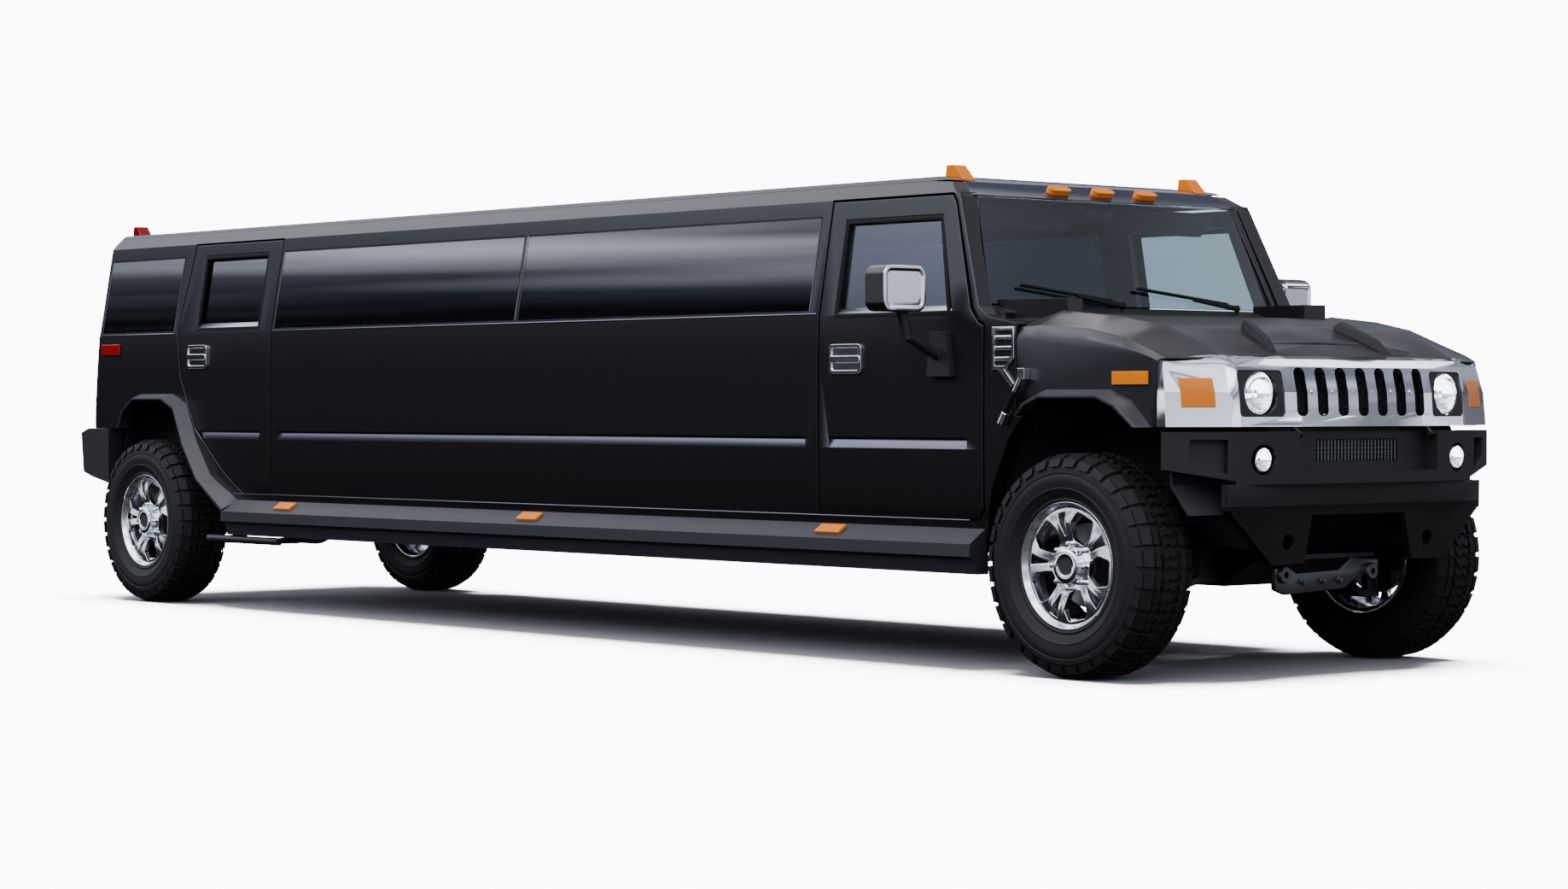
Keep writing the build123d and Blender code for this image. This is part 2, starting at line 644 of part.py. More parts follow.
def engine():
    """Engine and gearbox as plain blocks at their real place."""
    mass = block(X_FRONT - 430, X_FRONT + 330, -300, 300, 560, 1130)
    mount = block(X_FRONT - 100, X_FRONT, -Y_RAIL_IN - 9, Y_RAIL_IN + 9, RAIL_TOP, RAIL_TOP + 40)
    gearbox = block(X_FRONT - 1250, X_FRONT - 430, -150, 150, 430, RAIL_TOP - 4)
    return mass + mount + gearbox


# ---- tilting front --------------------------------------------------------------------------------
X_HOOD_HINGE = X_FRONT + 652.0
Z_HOOD_HINGE = 942.0
HOOD_PIN = 6.0             # radius
NOTCH_HALF = 414.0         # half width of the notch in the front bumper
Y_HOOD_ARM = NOTCH_HALF - 10.0     # outboard face of each hinge arm
HOOD_WALL = 25.0
HOOD_STATIONS = (          # x from the front axle; centre z; ridge y, z; crease z; lower crease z; side y
    (-450, 1430, 805, 1436, 1352, 1312, 955),
    (-200, 1414, 800, 1428, 1368, 1320, 955),
    (60, 1396, 775, 1402, 1352, 1308, 955),
    (270, 1366, 738, 1364, 1308, 1276, 955),
    (400, 1308, 706, 1300, 1260, 1238, 955),
    (505, 1248, 684, 1246, 1212, 1196, 945),
)
SURROUND_LEVELS = (        # z; then x at y = 0, 360, 500, 665, 705; facet end x, y; back x
    (974, 645, 638, 620, 600, 586, 486, 957, 440),
    (1105, 637, 630, 612, 592, 575, 476, 953, 440),
    (1203, 615, 608, 592, 572, 548, 452, 939, 440),
    (1232, 592, 586, 572, 552, 530, 444, 925, 440),
    (1246, 548, 544, 536, 520, 508, 500, 760, 496),
)
SURROUND_Y = (0, 360, 500, 665, 705)
SURROUND_WALL = 20.0
SLOT_COUNT = 7
SLOT_PITCH = 117.0
SLOT_WIDTH = 60.0
SLOT_LOW, SLOT_TOP = 1014.0, 1200.0
LAMP_Y, LAMP_Z = 553.0, 1100.0
LAMP_OPENING = (226.0, 178.0)      # headlamp opening, wide and high
LAMP_RADIUS = 84.0


def surround_section(level, inset):
    """Plan polygon of the surround at one level, moved in by an amount."""
    z, *x_values, x_end, y_end, x_back = level
    front = [(X_FRONT + x - inset, y) for x, y in zip(x_values, SURROUND_Y)]
    half = [*front[1:], (X_FRONT + x_end - inset * 0.4, y_end - inset), (X_FRONT + x_back - inset * 2, y_end - inset)]
    right = [(x, -y) for x, y in reversed(half)]
    return [(x, y, z) for x, y in (*right, front[0], *half)]


def surround_solid(inset=0.0, drop=0.0):
    """Outer form of the grille surround; the hollow is the same form moved in."""
    sections = [surround_section(level, inset) for level in SURROUND_LEVELS]
    moved = [[(x, y, z - drop) for x, y, z in section] for section in sections]
    return ruled(moved)


def surround_x(y, z):
    """Station of the surround's face at a half width and height."""
    for low, high in zip(SURROUND_LEVELS, SURROUND_LEVELS[1:]):
        if low[0] <= z <= high[0]:
            share = (z - low[0]) / (high[0] - low[0])
            level = [a + (b - a) * share for a, b in zip(low, high)]
            stations = [*zip(SURROUND_Y, level[1:6]), (level[7], level[6])]
            for (y0, x0), (y1, x1) in zip(stations, stations[1:]):
                if y0 <= y <= y1:
                    return X_FRONT + x0 + (x1 - x0) * (y - y0) / (y1 - y0)
    raise ValueError((y, z))


def rounded_rectangle(y_mid, z_mid, width, height):
    """Front-view rectangle (y, z)."""
    return [
        (y_mid - width / 2, z_mid - height / 2), (y_mid + width / 2, z_mid - height / 2),
        (y_mid + width / 2, z_mid + height / 2), (y_mid - width / 2, z_mid + height / 2),
    ]


def lamp_opening():
    """Cutter of the left headlamp opening."""
    outline = rounded_rectangle(LAMP_Y, LAMP_Z, *LAMP_OPENING)
    return rounded_front_prism(outline, 18, X_FRONT + 500, X_FRONT + 700)


FACET_LAMP = (760.0, 893.0, 1046.0, 1158.0)        # y and z limits of the square turn lamp
FACET_DEPTH = 12.0


def face_slab(y_values, z_values, depth_out, depth_in):
    """Slab of the surround's face between two depths, through the given half widths and heights."""
    def section(z):
        front = [(surround_x(y, z) + depth_out, y, z) for y in y_values]
        return [*front, *[(surround_x(y, z) - depth_in, y, z) for y in reversed(y_values)]]

    return ruled([section(z) for z in z_values])


def facet_lamp(depth_out, depth_in):
    """Square lens lying along the surround's corner facet."""
    y_low, y_high, z_low, z_high = FACET_LAMP
    return face_slab((y_low, y_high), (z_low, SURROUND_LEVELS[1][0], z_high), depth_out, depth_in)


def grille_surround():
    """Bright grille surround: hollow form with seven slots, lamp openings and lens pockets."""
    shell = surround_solid() - surround_solid(SURROUND_WALL, SURROUND_WALL)
    for index in range(SLOT_COUNT):
        y = (index - (SLOT_COUNT - 1) / 2) * SLOT_PITCH
        outline = rounded_rectangle(y, (SLOT_LOW + SLOT_TOP) / 2, SLOT_WIDTH, SLOT_TOP - SLOT_LOW)
        shell = shell - rounded_front_prism(outline, 24, X_FRONT + 560, X_FRONT + 700)
    for cutter in (lamp_opening(), facet_lamp(8, FACET_DEPTH)):
        shell = shell - cutter - mirrored(cutter)
    return shell


def hood_section(station, inset):
    """Cross section of the tilting front, open below when it is the hollow."""
    x, z_mid, y_ridge, z_ridge, z_crease, z_low, y_side = station
    bottom = Z_HOOD_LOW - 60 - inset
    half = [
        (y_side - inset, bottom), (y_side - inset, z_low - inset * 0.6), (y_side - 20 - inset * 0.7, z_crease - inset),
        (y_ridge - inset * 0.3, z_ridge - inset), (y_ridge - 70, z_ridge - 8 - inset),
    ]
    points = [*half, (0, z_mid - inset), *[(-y, z) for y, z in reversed(half)]]
    return [(X_FRONT + x, y, z) for y, z in points]


Y_FENDER_CUT = 700.0       # outboard of this the fenders stop at the surround's back
SURROUND_BACK = 440.0
RAIL_LINE = 290.0          # half width of the recess line between the two raised rails
RAIL_SIDE = (              # x from the front axle, height above the hood's middle line
    (268, -14), (268, 6), (292, 34), (330, 30), (430, 24), (474, -2), (474, -16),
)
RAIL_PLAN = ((268, 258), (474, 322), (474, 358), (268, 294))      # x from the front axle, y


def hood_z(x):
    """Height of the hood's middle line."""
    for low, high in zip(HOOD_STATIONS, HOOD_STATIONS[1:]):
        if low[0] <= x <= high[0]:
            return low[1] + (high[1] - low[1]) * (x - low[0]) / (high[0] - low[0])
    raise ValueError(x)


def hood_rail(side):
    """Slim raised rail on top of the hood, splayed outwards to the front."""
    profile = [(X_FRONT + x, hood_z(x) + rise) for x, rise in RAIL_SIDE]
    plan = [(X_FRONT + x, side * y) for x, y in RAIL_PLAN]
    return side_prism(profile, -400, 400) & plan_prism(plan, 1200, 1450)


def hood_form():
    """Outer form of the tilting front, not yet hollowed."""
    return ruled([hood_section(station, 0.0) for station in HOOD_STATIONS])


def hood_shell():
    """Clamshell hood with the front fenders and arch flares."""
    form = hood_form()
    first, last = HOOD_STATIONS[0], HOOD_STATIONS[-1]
    hollow_stations = [(first[0] - 20, *first[1:]), *HOOD_STATIONS[1:-1], (last[0] + 20, *last[1:])]
    shell = form - ruled([hood_section(station, HOOD_WALL) for station in hollow_stations])
    rear_line = [
        (X_HOOD_REAR, 0), (X_HOOD_REAR, Y_HOOD_POD), (X_HOOD_POD, Y_HOOD_POD), (X_HOOD_POD, 800),
        (X_COWL_SEAM, 940), (X_COWL_SEAM, Y_FLARE), (X_FRONT - 500, Y_FLARE), (X_FRONT - 500, 0),
    ]
    for side in (1, -1):
        shell = shell - plan_prism([(x, side * y) for x, y in rear_line], 850, 1500)
    arch = [*ARCH_FRONT_OPEN, (X_FRONT + 375, 850), (X_FRONT - 600, 850), (X_FRONT - 600, Z_HOOD_LOW_REAR)]
    shell = shell - side_prism(arch, -Y_FLARE, Y_FLARE)
    shell = shell - block(X_FRONT + 370, X_FRONT + 600, -Y_FLARE, Y_FLARE, 850, Z_HOOD_LOW)
    shell = shell - surround_solid()
    for side in (1, -1):
        y_low, y_high = sorted((side * Y_FENDER_CUT, side * Y_FLARE))
        shell = shell - block(X_FRONT + SURROUND_BACK, X_NOSE, y_low, y_high, 850, SURROUND_LEVELS[3][0])
    shell = shell - block(X_FRONT + 410, X_FRONT + 424, -RAIL_LINE, RAIL_LINE, hood_z(417) - 5, 1400)
    edge = flare(ARCH_FRONT_OPEN, ARCH_FRONT_OUTER, 0.2) - form
    for side in (1, -1):
        shell = shell + hood_rail(side)
    return shell + edge + mirrored(edge)


def flare(opening, outer, lip):
    """Arch flare rising from the skin to the opening's edge."""
    edge = [(a[0] + (b[0] - a[0]) * lip, a[1] + (b[1] - a[1]) * lip) for a, b in zip(opening, outer)]
    base = [*outer, *reversed(opening)]
    top = [*edge, *reversed(opening)]
    y_base = Y_SIDE - 26
    return frustum([(x, y_base, z) for x, z in base], [(x, Y_FLARE, z) for x, z in top])


# ---- cladding along the sill and round the rear arch ----------------------------------------------
SILL_SECTION = ((920, 565), (938, 565), (Y_FLARE, 506), (Y_FLARE + 2, 456), (1000, 442), (984, 384), (920, 384))


def sill_cladding():
    """Left sill cladding running into the rear arch flare, seated on the body skin."""
    sill = cross_prism(SILL_SECTION, X_REAR + 830, X_FRONT - 505)
    rear = flare(ARCH_REAR_OPEN, ARCH_REAR_OUTER, 0.2)
    return (sill + rear) - envelope()


# ---- bumpers --------------------------------------------------------------------------------------
BUMPER_LOW, BUMPER_TOP = 755.0, 955.0
BUMPER_PLAN = (            # x from the front axle, y: outer line then inner line
    (680, 0), (674, 414), (652, 520), (638, 600), (617, 700), (493, 957), (462, 957),
    (440, 905), (530, 660), (575, 500), (575, 0),
)
NOTCH_LOW = 800.0
NOTCH_DEPTH = 75.0
MESH_HALF = 246.0
MESH_LOW, MESH_TOP = 838.0, 925.0
MESH_ROWS, MESH_COLUMNS = 4, 9
MESH_BAR = 5.0
FOG_Y, FOG_Z = 578.0, 849.0
FOG_RECESS, FOG_RADIUS = 58.0, 46.0


def both_sides(half):
    """Full plan outline from its left half, front centre first and back centre last."""
    return [(X_FRONT + x, y) for x, y in half] + [(X_FRONT + x, -y) for x, y in reversed(half[1:-1])]


def front_bumper():
    """Bumper with its centre notch, mesh opening, fog-lamp recesses and end pockets."""
    plan = both_sides(BUMPER_PLAN)
    lower = [(x - (8 if x > X_FRONT + 580 else 0), y) for x, y in plan]
    bumper = frustum([(x, y, BUMPER_LOW) for x, y in lower], [(x, y, BUMPER_TOP) for x, y in plan])
    bumper = bumper - block(X_FRONT + 680 - NOTCH_DEPTH, X_NOSE + 50, -NOTCH_HALF, NOTCH_HALF, NOTCH_LOW, 1000)
    bumper = bumper - block(X_FRONT + 500, X_NOSE + 50, -MESH_HALF, MESH_HALF, MESH_LOW, MESH_TOP)
    facet = (617 - 493, 700 - 957)
    length = hypot(*facet)
    normal = (-facet[1] / length, facet[0] / length)
    for side in (1, -1):
        fog = Solid.make_cylinder(FOG_RECESS, 130, Plane((X_FRONT + 600, side * FOG_Y, FOG_Z), z_dir=(1, 0, 0)))
        slope_points = [(side * 700, 768), (side * 960, 812), (side * 960, 700), (side * 700, 700)]
        slope = cross_prism(slope_points, X_FRONT + 400, X_NOSE)
        pocket = []
        for along, z in ((40, 795), (40, 925), (195, 925), (195, 858)):
            x = X_FRONT + 617 - facet[0] * along / length + normal[0] * 10
            y = 700 - facet[1] * along / length + normal[1] * 10
            pocket.append((x, side * y, z))
        cut = prism(pocket, (-normal[0] * 45, -side * normal[1] * 45, 0))
        bumper = bumper - fog - slope - cut
        bumper = bumper + rod(
            (X_HOOD_HINGE, side * (Y_HOOD_ARM - 24), Z_HOOD_HINGE), (X_HOOD_HINGE, side * NOTCH_HALF, Z_HOOD_HINGE),
            HOOD_PIN,
        )
    return bumper + mesh_bars()


def mesh_bars():
    """Crossing bars of the air intake, joined to the edges of its opening."""
    bars = None
    for index in range(MESH_ROWS):
        z = MESH_LOW + (MESH_TOP - MESH_LOW) * (index + 1) / (MESH_ROWS + 1)
        bar = block(X_FRONT + 585, X_FRONT + 593, -MESH_HALF - 2, MESH_HALF + 2, z - MESH_BAR / 2, z + MESH_BAR / 2)
        bars = bar if bars is None else bars + bar
    for index in range(MESH_COLUMNS):
        y = MESH_HALF * (2 * (index + 1) / (MESH_COLUMNS + 1) - 1)
        bars = bars + block(
            X_FRONT + 585, X_FRONT + 593, y - MESH_BAR / 2, y + MESH_BAR / 2, MESH_LOW - 2, MESH_TOP + 2
        )
    return bars


def fog_lamps():
    """Round clear lamps standing in the bumper's recesses."""
    lamps = []
    for side in (1, -1):
        place = Plane((X_FRONT + 600, side * FOG_Y, FOG_Z), z_dir=(1, 0, 0))
        lamps.append(Solid.make_cylinder(FOG_RADIUS, 34, place))
    return lamps


TOW_Y, TOW_Z, TOW_RADIUS = 415.0, 530.0, 30.0        # towing eyes through the valance


def valance():
    """Lower valance with its corner legs, and the sloping skid plate behind it."""
    front = ((-750, BUMPER_LOW), (-748, 655), (-508, 444), (-321, 449), (-275, 632), (275, 632), (321, 449), (508, 444),
             (748, 655), (750, BUMPER_LOW))
    band = cross_prism(list(reversed(front)), X_FRONT + 575, X_FRONT + 618)
    skid = side_prism(from_front(((300, 452), (330, 440), (590, 632), (590, 660), (565, 660))), -300, 300)
    for side in (1, -1):
        band = band - rod((X_FRONT + 500, side * TOW_Y, TOW_Z), (X_FRONT + 700, side * TOW_Y, TOW_Z), TOW_RADIUS)
    return band + skid


def rear_bumper():
    """Rear bumper: full-width bar, ends running forward round the body, brackets to the frame."""
    bar = from_rear(((-720, 905), (-695, 690), (-605, 665), (-605, 928), (-640, 930)))
    end = from_rear(((-606, 665), (-418, 630), (-418, 925), (-606, 928)))
    low = block(X_TAIL, X_REAR - 605, -800, 800, 600, 735)
    bumper = side_prism(bar, -975, 975) - low
    for side in (1, -1):
        y_low, y_high = sorted((side * 886, side * 975))
        rail_low, rail_high = sorted((side * Y_RAIL_IN, side * Y_RAIL_OUT))
        bumper = bumper + side_prism(end, y_low, y_high)
        bumper = bumper + block(X_REAR - 606, X_RAIL_REAR, rail_low, rail_high, RAIL_LOW, 630)
        bumper = bumper + block(X_REAR - 650, X_REAR - 605, rail_low, rail_high, RAIL_LOW, 740)
    return bumper


# ---- wheels ---------------------------------------------------------------------------------------
SPOKES = 5
RIM_WINDOW = ((98, -30), (160, -60), (211, -48), (211, 48), (160, 60), (98, 30))      # radius, distance across
RIM_GROOVE = ((210, -22), (210, 22), (120, 4), (120, -4))
FIRST_WINDOW = 66.0        # degrees round the wheel
TYRE_SECTION = (           # radius, distance from the tyre's middle
    (232, -110), (249, -112), (249, -125), (318, -150), (380, -146), (418, -130), (436, -92),
    (436, 92), (418, 130), (380, 146), (318, 150), (249, 125), (249, 112), (232, 110),
)
RIM_SECTION = (            # barrel and lips: radius, distance from the middle, outboard positive
    (249, 125), (249, 112), (232, 110), (232, -110), (249, -112), (249, -125), (240, -125),
    (222, -104), (208, -60), (208, 60), (226, 104), (240, 125),
)
DISC_SECTION = (           # dished spoke disc with the hub barrel
    (0, 40), (70, 40), (92, 66), (150, 82), (226, 84), (226, 104), (168, 112), (104, 98), (74, 96), (66, 128), (0, 128),
)
BRAKE_SECTION = ((0, 4), (62, 4), (62, -22), (165, -22), (165, 2), (78, 2), (78, 40), (0, 40))


def wheel_ring(section, centre, side):
    """A revolved wheel part; the section's outboard direction points away from the vehicle."""
    return spinning([(r, side * along) for r, along in section], centre)


def rim(centre, side):
    """Alloy wheel: broad spokes split by grooves, rounded windows between them, brake disc behind."""
    x, y, z = centre
    disc = wheel_ring(DISC_SECTION, centre, side)
    for index in range(SPOKES):
        window_turn = radians(FIRST_WINDOW + index * 360 / SPOKES)
        groove_turn = window_turn + radians(180 / SPOKES)
        plane = Plane((x, y, z), x_dir=(cos(window_turn), 0, sin(window_turn)), z_dir=(0, -1, 0))
        disc = disc - extrude(plane * Face(rounded(RIM_WINDOW, 17)), 260, both=True)
        plane = Plane((x, y, z), x_dir=(cos(groove_turn), 0, sin(groove_turn)), z_dir=(0, -1, 0))
        groove = plane * make_face(Polyline(*RIM_GROOVE, close=True))
        disc = disc - extrude(groove, 260, both=True)
    barrel = wheel_ring(RIM_SECTION, centre, side)
    brake = wheel_ring(BRAKE_SECTION, centre, side)
    return barrel + disc + brake


def tyre(centre, side):
    """Tyre without tread cuts."""
    return wheel_ring(TYRE_SECTION, centre, side)


# ---- axles and steering ---------------------------------------------------------------------------
Y_KINGPIN = Y_WHEEL - 70.0
Z_AXLE = TYRE_RADIUS
ARM_OFFSET = 165.0         # ball joints above and below the axle
ARM_THICK = 28.0
Z_ARM_LOW = Z_AXLE - ARM_OFFSET
Z_ARM_HIGH = Z_AXLE + ARM_OFFSET
Z_CRADLE = 372.0
SPINDLE_END = Y_WHEEL + 4 - PIN_GAP
Y_AXLE_END = Y_WHEEL - 90.0
ARM_STATIONS = (           # y, half width, share of the way from the ball joint to the frame
    (Y_KINGPIN + 34, 30, 0.0), (Y_KINGPIN - 65, 40, 0.0), (Y_KINGPIN - 150, 58, 0.3),
    (Y_KINGPIN - 200, 105, 0.46), (Y_RAIL_OUT, 190, 1.0),
)


def suspension_arm(z_joint, z_frame, side):
    """Wishbone from the frame to the ball joint."""
    sections = []
    for y, half, share in ARM_STATIONS:
        z = z_joint + (z_frame - z_joint) * share
        low, high = z - ARM_THICK / 2, z + ARM_THICK / 2
        sections.append([
            (X_FRONT - half, side * y, low), (X_FRONT + half, side * y, low),
            (X_FRONT + half, side * y, high), (X_FRONT - half, side * y, high),
        ])
    return ruled(sections)


def front_suspension():
    """Wishbones, the cradle under the frame, the differential, its half shafts and skid plate."""
    cradle = block(X_FRONT - 190, X_FRONT + 190, -Y_RAIL_OUT, Y_RAIL_OUT, Z_CRADLE - 14, Z_CRADLE + 14)
    for side in (1, -1):
        y_low, y_high = sorted((side * Y_RAIL_IN, side * Y_RAIL_OUT))
        for x in (-190, 130):
            cradle = cradle + block(X_FRONT + x, X_FRONT + x + 60, y_low, y_high, Z_CRADLE, RAIL_LOW)
        cradle = cradle + suspension_arm(Z_ARM_LOW, Z_CRADLE, side)
        cradle = cradle + suspension_arm(Z_ARM_HIGH, Z_ARM_HIGH, side)
    casing = Solid.make_cylinder(88, 300, Plane((X_FRONT - 150, -40, Z_AXLE), z_dir=(1, 0, 0)))
    shafts = rod((X_FRONT, 100 - Y_KINGPIN, Z_AXLE), (X_FRONT, Y_KINGPIN - 100, Z_AXLE), 22)
    skid = from_front(((-250, 345), (215, 345), (420, 452), (420, 470), (200, 359), (-250, 359)))
    return cradle + casing + shafts + side_prism(skid, -330, 330)


def knuckle(side):
    """Steering knuckle: kingpin post between the ball joints, with the wheel spindle."""
    low = Z_ARM_LOW + ARM_THICK / 2 + PIN_GAP
    high = Z_ARM_HIGH - ARM_THICK / 2 - PIN_GAP
    post = Solid.make_cylinder(30, high - low, Plane((X_FRONT, side * Y_KINGPIN, low)))
    y_low, y_high = sorted((side * (Y_KINGPIN - 22), side * (Y_KINGPIN + 34)))
    carrier = block(X_FRONT - 62, X_FRONT + 62, y_low, y_high, Z_AXLE - 70, Z_AXLE + 70)
    return post + carrier + rod((X_FRONT, side * Y_KINGPIN, Z_AXLE), (X_FRONT, side * SPINDLE_END, Z_AXLE), 45)


def rear_axle():
    """Live axle with its differential, coil springs, trailing links and propeller shaft."""
    axle = rod((X_REAR, -Y_AXLE_END, Z_AXLE), (X_REAR, Y_AXLE_END, Z_AXLE), 48)
    axle = axle + Solid.make_cylinder(150, 190, Plane((X_REAR - 95, 40, Z_AXLE), z_dir=(1, 0, 0)))
    for side in (1, -1):
        axle = axle + rod((X_REAR, side * Y_AXLE_END, Z_AXLE), (X_REAR, side * (Y_AXLE_END + 62), Z_AXLE), 58)
        axle = axle + rod((X_REAR, side * Y_AXLE_END, Z_AXLE), (X_REAR, side * SPINDLE_END, Z_AXLE), 45)
        axle = axle + rod((X_REAR, side * 560, Z_AXLE), (X_REAR, side * 560, RAIL_TOP), 55)
        axle = axle + rod((X_REAR + 20, side * 400, Z_AXLE - 20), (X_REAR + 760, side * 400, RAIL_LOW - 26), 24)
        axle = axle + block(
            X_REAR + 730, X_REAR + 790, side * 400 - 40, side * 400 + 40, RAIL_LOW - 60, RAIL_LOW
        )
    return axle + rod((X_FRONT - 1251, 0, 500), (X_REAR + 60, 40, Z_AXLE), 42)


def exhaust_and_tank():
    """Fuel tank and silencer hung under the floor."""
    tank = block(X_REAR + 1300, X_REAR + 2400, 470, 760, 420, RAIL_TOP)
    silencer = rod((X_REAR + 1500, -600, 520), (X_REAR + 2300, -600, 520), 95)
    pipe = rod((X_FRONT - 1300, -600, 520), (X_REAR + 2300, -600, 520), 32)
    hanger = block(X_REAR + 1850, X_REAR + 1900, -640, -560, 520, RAIL_TOP)
    return [tank, silencer + pipe + hanger]


def side_steps():
    """Tubular steps below the rear doors, hung from the floor."""
    steps = []
    for side in (1, -1):
        step = rod((X_REAR + 620, side * 965, 360), (X_REAR + 1300, side * 965, 360), 20)
        for x in (700, 1200):
            step = step + rod((X_REAR + x, side * 965, 360), (X_REAR + x, side * 800, 360), 16)
            step = step + rod((X_REAR + x, side * 800, 344), (X_REAR + x, side * 800, WELL_FLOOR), 16)
        steps.append(step)
    return steps


# ---- cabin ----------------------------------------------------------------------------------------
def dashboard():
    """Dashboard and steering wheel on its column."""
    outline = from_front(((-650, 1050), (-650, 1375), (-720, 1395), (-900, 1370), (-930, 1300), (-860, 1050)))
    dash = (side_prism(list(reversed(outline)), -Y_SIDE, Y_SIDE) & INSIDE) - a_pillar() - mirrored(a_pillar())
    dash = dash & block(X_FRONT - 1000, X_FRONT - 650, -868, 868, 1000, 1450)
    tilt = (-sin(radians(62)), 0, cos(radians(62)))
    place = Plane((X_FRONT - 1060, 420, 1190), z_dir=tilt)
    wheel = Solid.make_torus(185, 15, place)
    bar = rod((X_FRONT - 1060, 420 - 185, 1190), (X_FRONT - 1060, 420 + 185, 1190), 13)
    column = rod((X_FRONT - 1060, 420, 1190), (X_FRONT - 880, 420, 1190 - 180 * 0.53), 28)
    return dash + (wheel + bar + column)


def seat_block(x_low, x_high, y_low, y_high, z_low, z_high, radius):
    """Cushion-like block with rounded edges."""
    return fillet(block(x_low, x_high, y_low, y_high, z_low, z_high).edges(), radius).solids()[0]


def front_seats():
    """Two front seats: cushion and backrest each."""
    seats = []
    for side in (1, -1):
        y0, y1 = sorted((side * 170, side * 690))
        seats.append(seat_block(X_FRONT - 1560, X_FRONT - 1040, y0, y1, Z_FLOOR, 985, 45))
        seats.append(seat_block(X_FRONT - 1700, X_FRONT - 1561, y0, y1, Z_FLOOR, 1560, 45))
    return seats


def lounge_bench():
    """Side bench along the left wall and a cross bench at the rear."""
    side_front, side_rear = X_FRONT - 1950, X_DOOR2_FRONT + 100
    parts = [
        seat_block(side_rear, side_front, 400, 860, Z_FLOOR, 1060, 50),
        seat_block(X_REAR - 200, X_REAR + 300, -640, 640, Z_FLOOR, 1060, 50),
        seat_block(X_REAR - 350, X_REAR - 201, -640, 640, Z_FLOOR, 1500, 50),
    ]
    return parts


# ---- lamps and mirrors ----------------------------------------------------------------------------
def wedge(x_rear, x_front, y_mid, width, z_low, height, nose=0.55):
    """Marker-lamp housing: a block with a sloping front."""
    outline = [
        (x_rear, z_low), (x_front, z_low), (x_front - (x_front - x_rear) * nose, z_low + height),
        (x_rear + 8, z_low + height),
    ]
    return side_prism(outline, y_mid - width / 2, y_mid + width / 2)


def roof_lamps(roof):
    """Amber marker lamps over the windscreen: two wedges and three ovals on the header's slope."""
    lamps = []
    for y in (695, -695):
        lamps.append(wedge(X_FRONT - 960, X_FRONT - 850, y, 70, 1976, 64) - roof)
    slope = (X_FRONT - 735, 1908), (X_FRONT - 822, 1964)
    (x_low, z_low), (x_high, z_high) = slope
    length = hypot(x_high - x_low, z_high - z_low)
    normal = ((z_high - z_low) / length, 0, (x_low - x_high) / length)
    for y in (-259, 0, 259):
        centre = (x_low + (x_high - x_low) * 0.5, y, z_low + (z_high - z_low) * 0.5)
        place = Plane(centre, x_dir=(0, 1, 0), z_dir=normal)
        face = (place * SlotOverall(122, 44)).faces()[0]
        lamps.append(Solid.extrude(face, Vector(*normal) * 24))
    return lamps


def sill_lamps():
    """Amber lamps on the slanted face of the cladding, left side."""
    (y_top, z_top), (y_low, z_low) = SILL_SECTION[1], SILL_SECTION[2]
    length = hypot(y_low - y_top, z_top - z_low)
    out = ((z_top - z_low) / length * 12, (y_low - y_top) / length * 12)

    def on_face(share):
        return y_top + (y_low - y_top) * share, z_top + (z_low - z_top) * share

    (ya, za), (yb, zb) = on_face(0.2), on_face(0.72)
    section = [(ya, za), (yb, zb), (yb + out[0], zb + out[1]), (ya + out[0], za + out[1])]
    return [cross_prism(section, X_FRONT + x - 75, X_FRONT + x + 75) for x in (-5580, -3490, -1386)]


def red_lamps(roof):
    """Tail lamps, rear side markers and the roof's rear marker lamps."""
    lamps = []
    corner = block(X_TAIL, X_REAR, 826, 945, 1012, 1212)
    tail = rear_slab(-20, 0) & corner
    marker = wall(-10, 0, 1328, 1389, X_REAR - 517, X_REAR - 322)
    lamps = [tail, mirrored(tail), marker, mirrored(marker)]
    for y in (745, -745):
        lamps.append(wedge(X_REAR - 490, X_REAR - 390, y, 70, 1980, 62) - roof)
    return lamps


VENT_BACK, VENT_FRONT = -444.0, -320.0               # from the front axle
VENT_LOW, VENT_TOP = 1196.0, 1365.0
VENT_RIM = 15.0
HANDLE_WIDE, HANDLE_HIGH = 200.0, 124.0
HANDLE_RIM = 15.0


def side_vents():
    """Bright vent frame with three louvres and a slanting strut, on the left cowl side."""
    corner = 44.0
    outline = from_front((
        (VENT_BACK, VENT_LOW), (VENT_FRONT - corner, VENT_LOW), (VENT_FRONT, VENT_LOW + corner), (VENT_FRONT, VENT_TOP),
        (VENT_BACK, VENT_TOP),
    ))
    frame = side_prism(outline, 945, 963) - side_prism(inset_outline(outline, VENT_RIM), 940, 970)
    for share in (0.25, 0.5, 0.75):
        z = VENT_LOW + (VENT_TOP - VENT_LOW) * share
        frame = frame + block(X_FRONT + VENT_BACK + 8, X_FRONT + VENT_FRONT - 8, 948, 961, z - 8, z + 8)
    strut = side_prism(from_front(((-412, 1200), (-334, 1126), (-320, 1140), (-380, 1204))), 945, 963)
    return (frame + strut) - envelope()


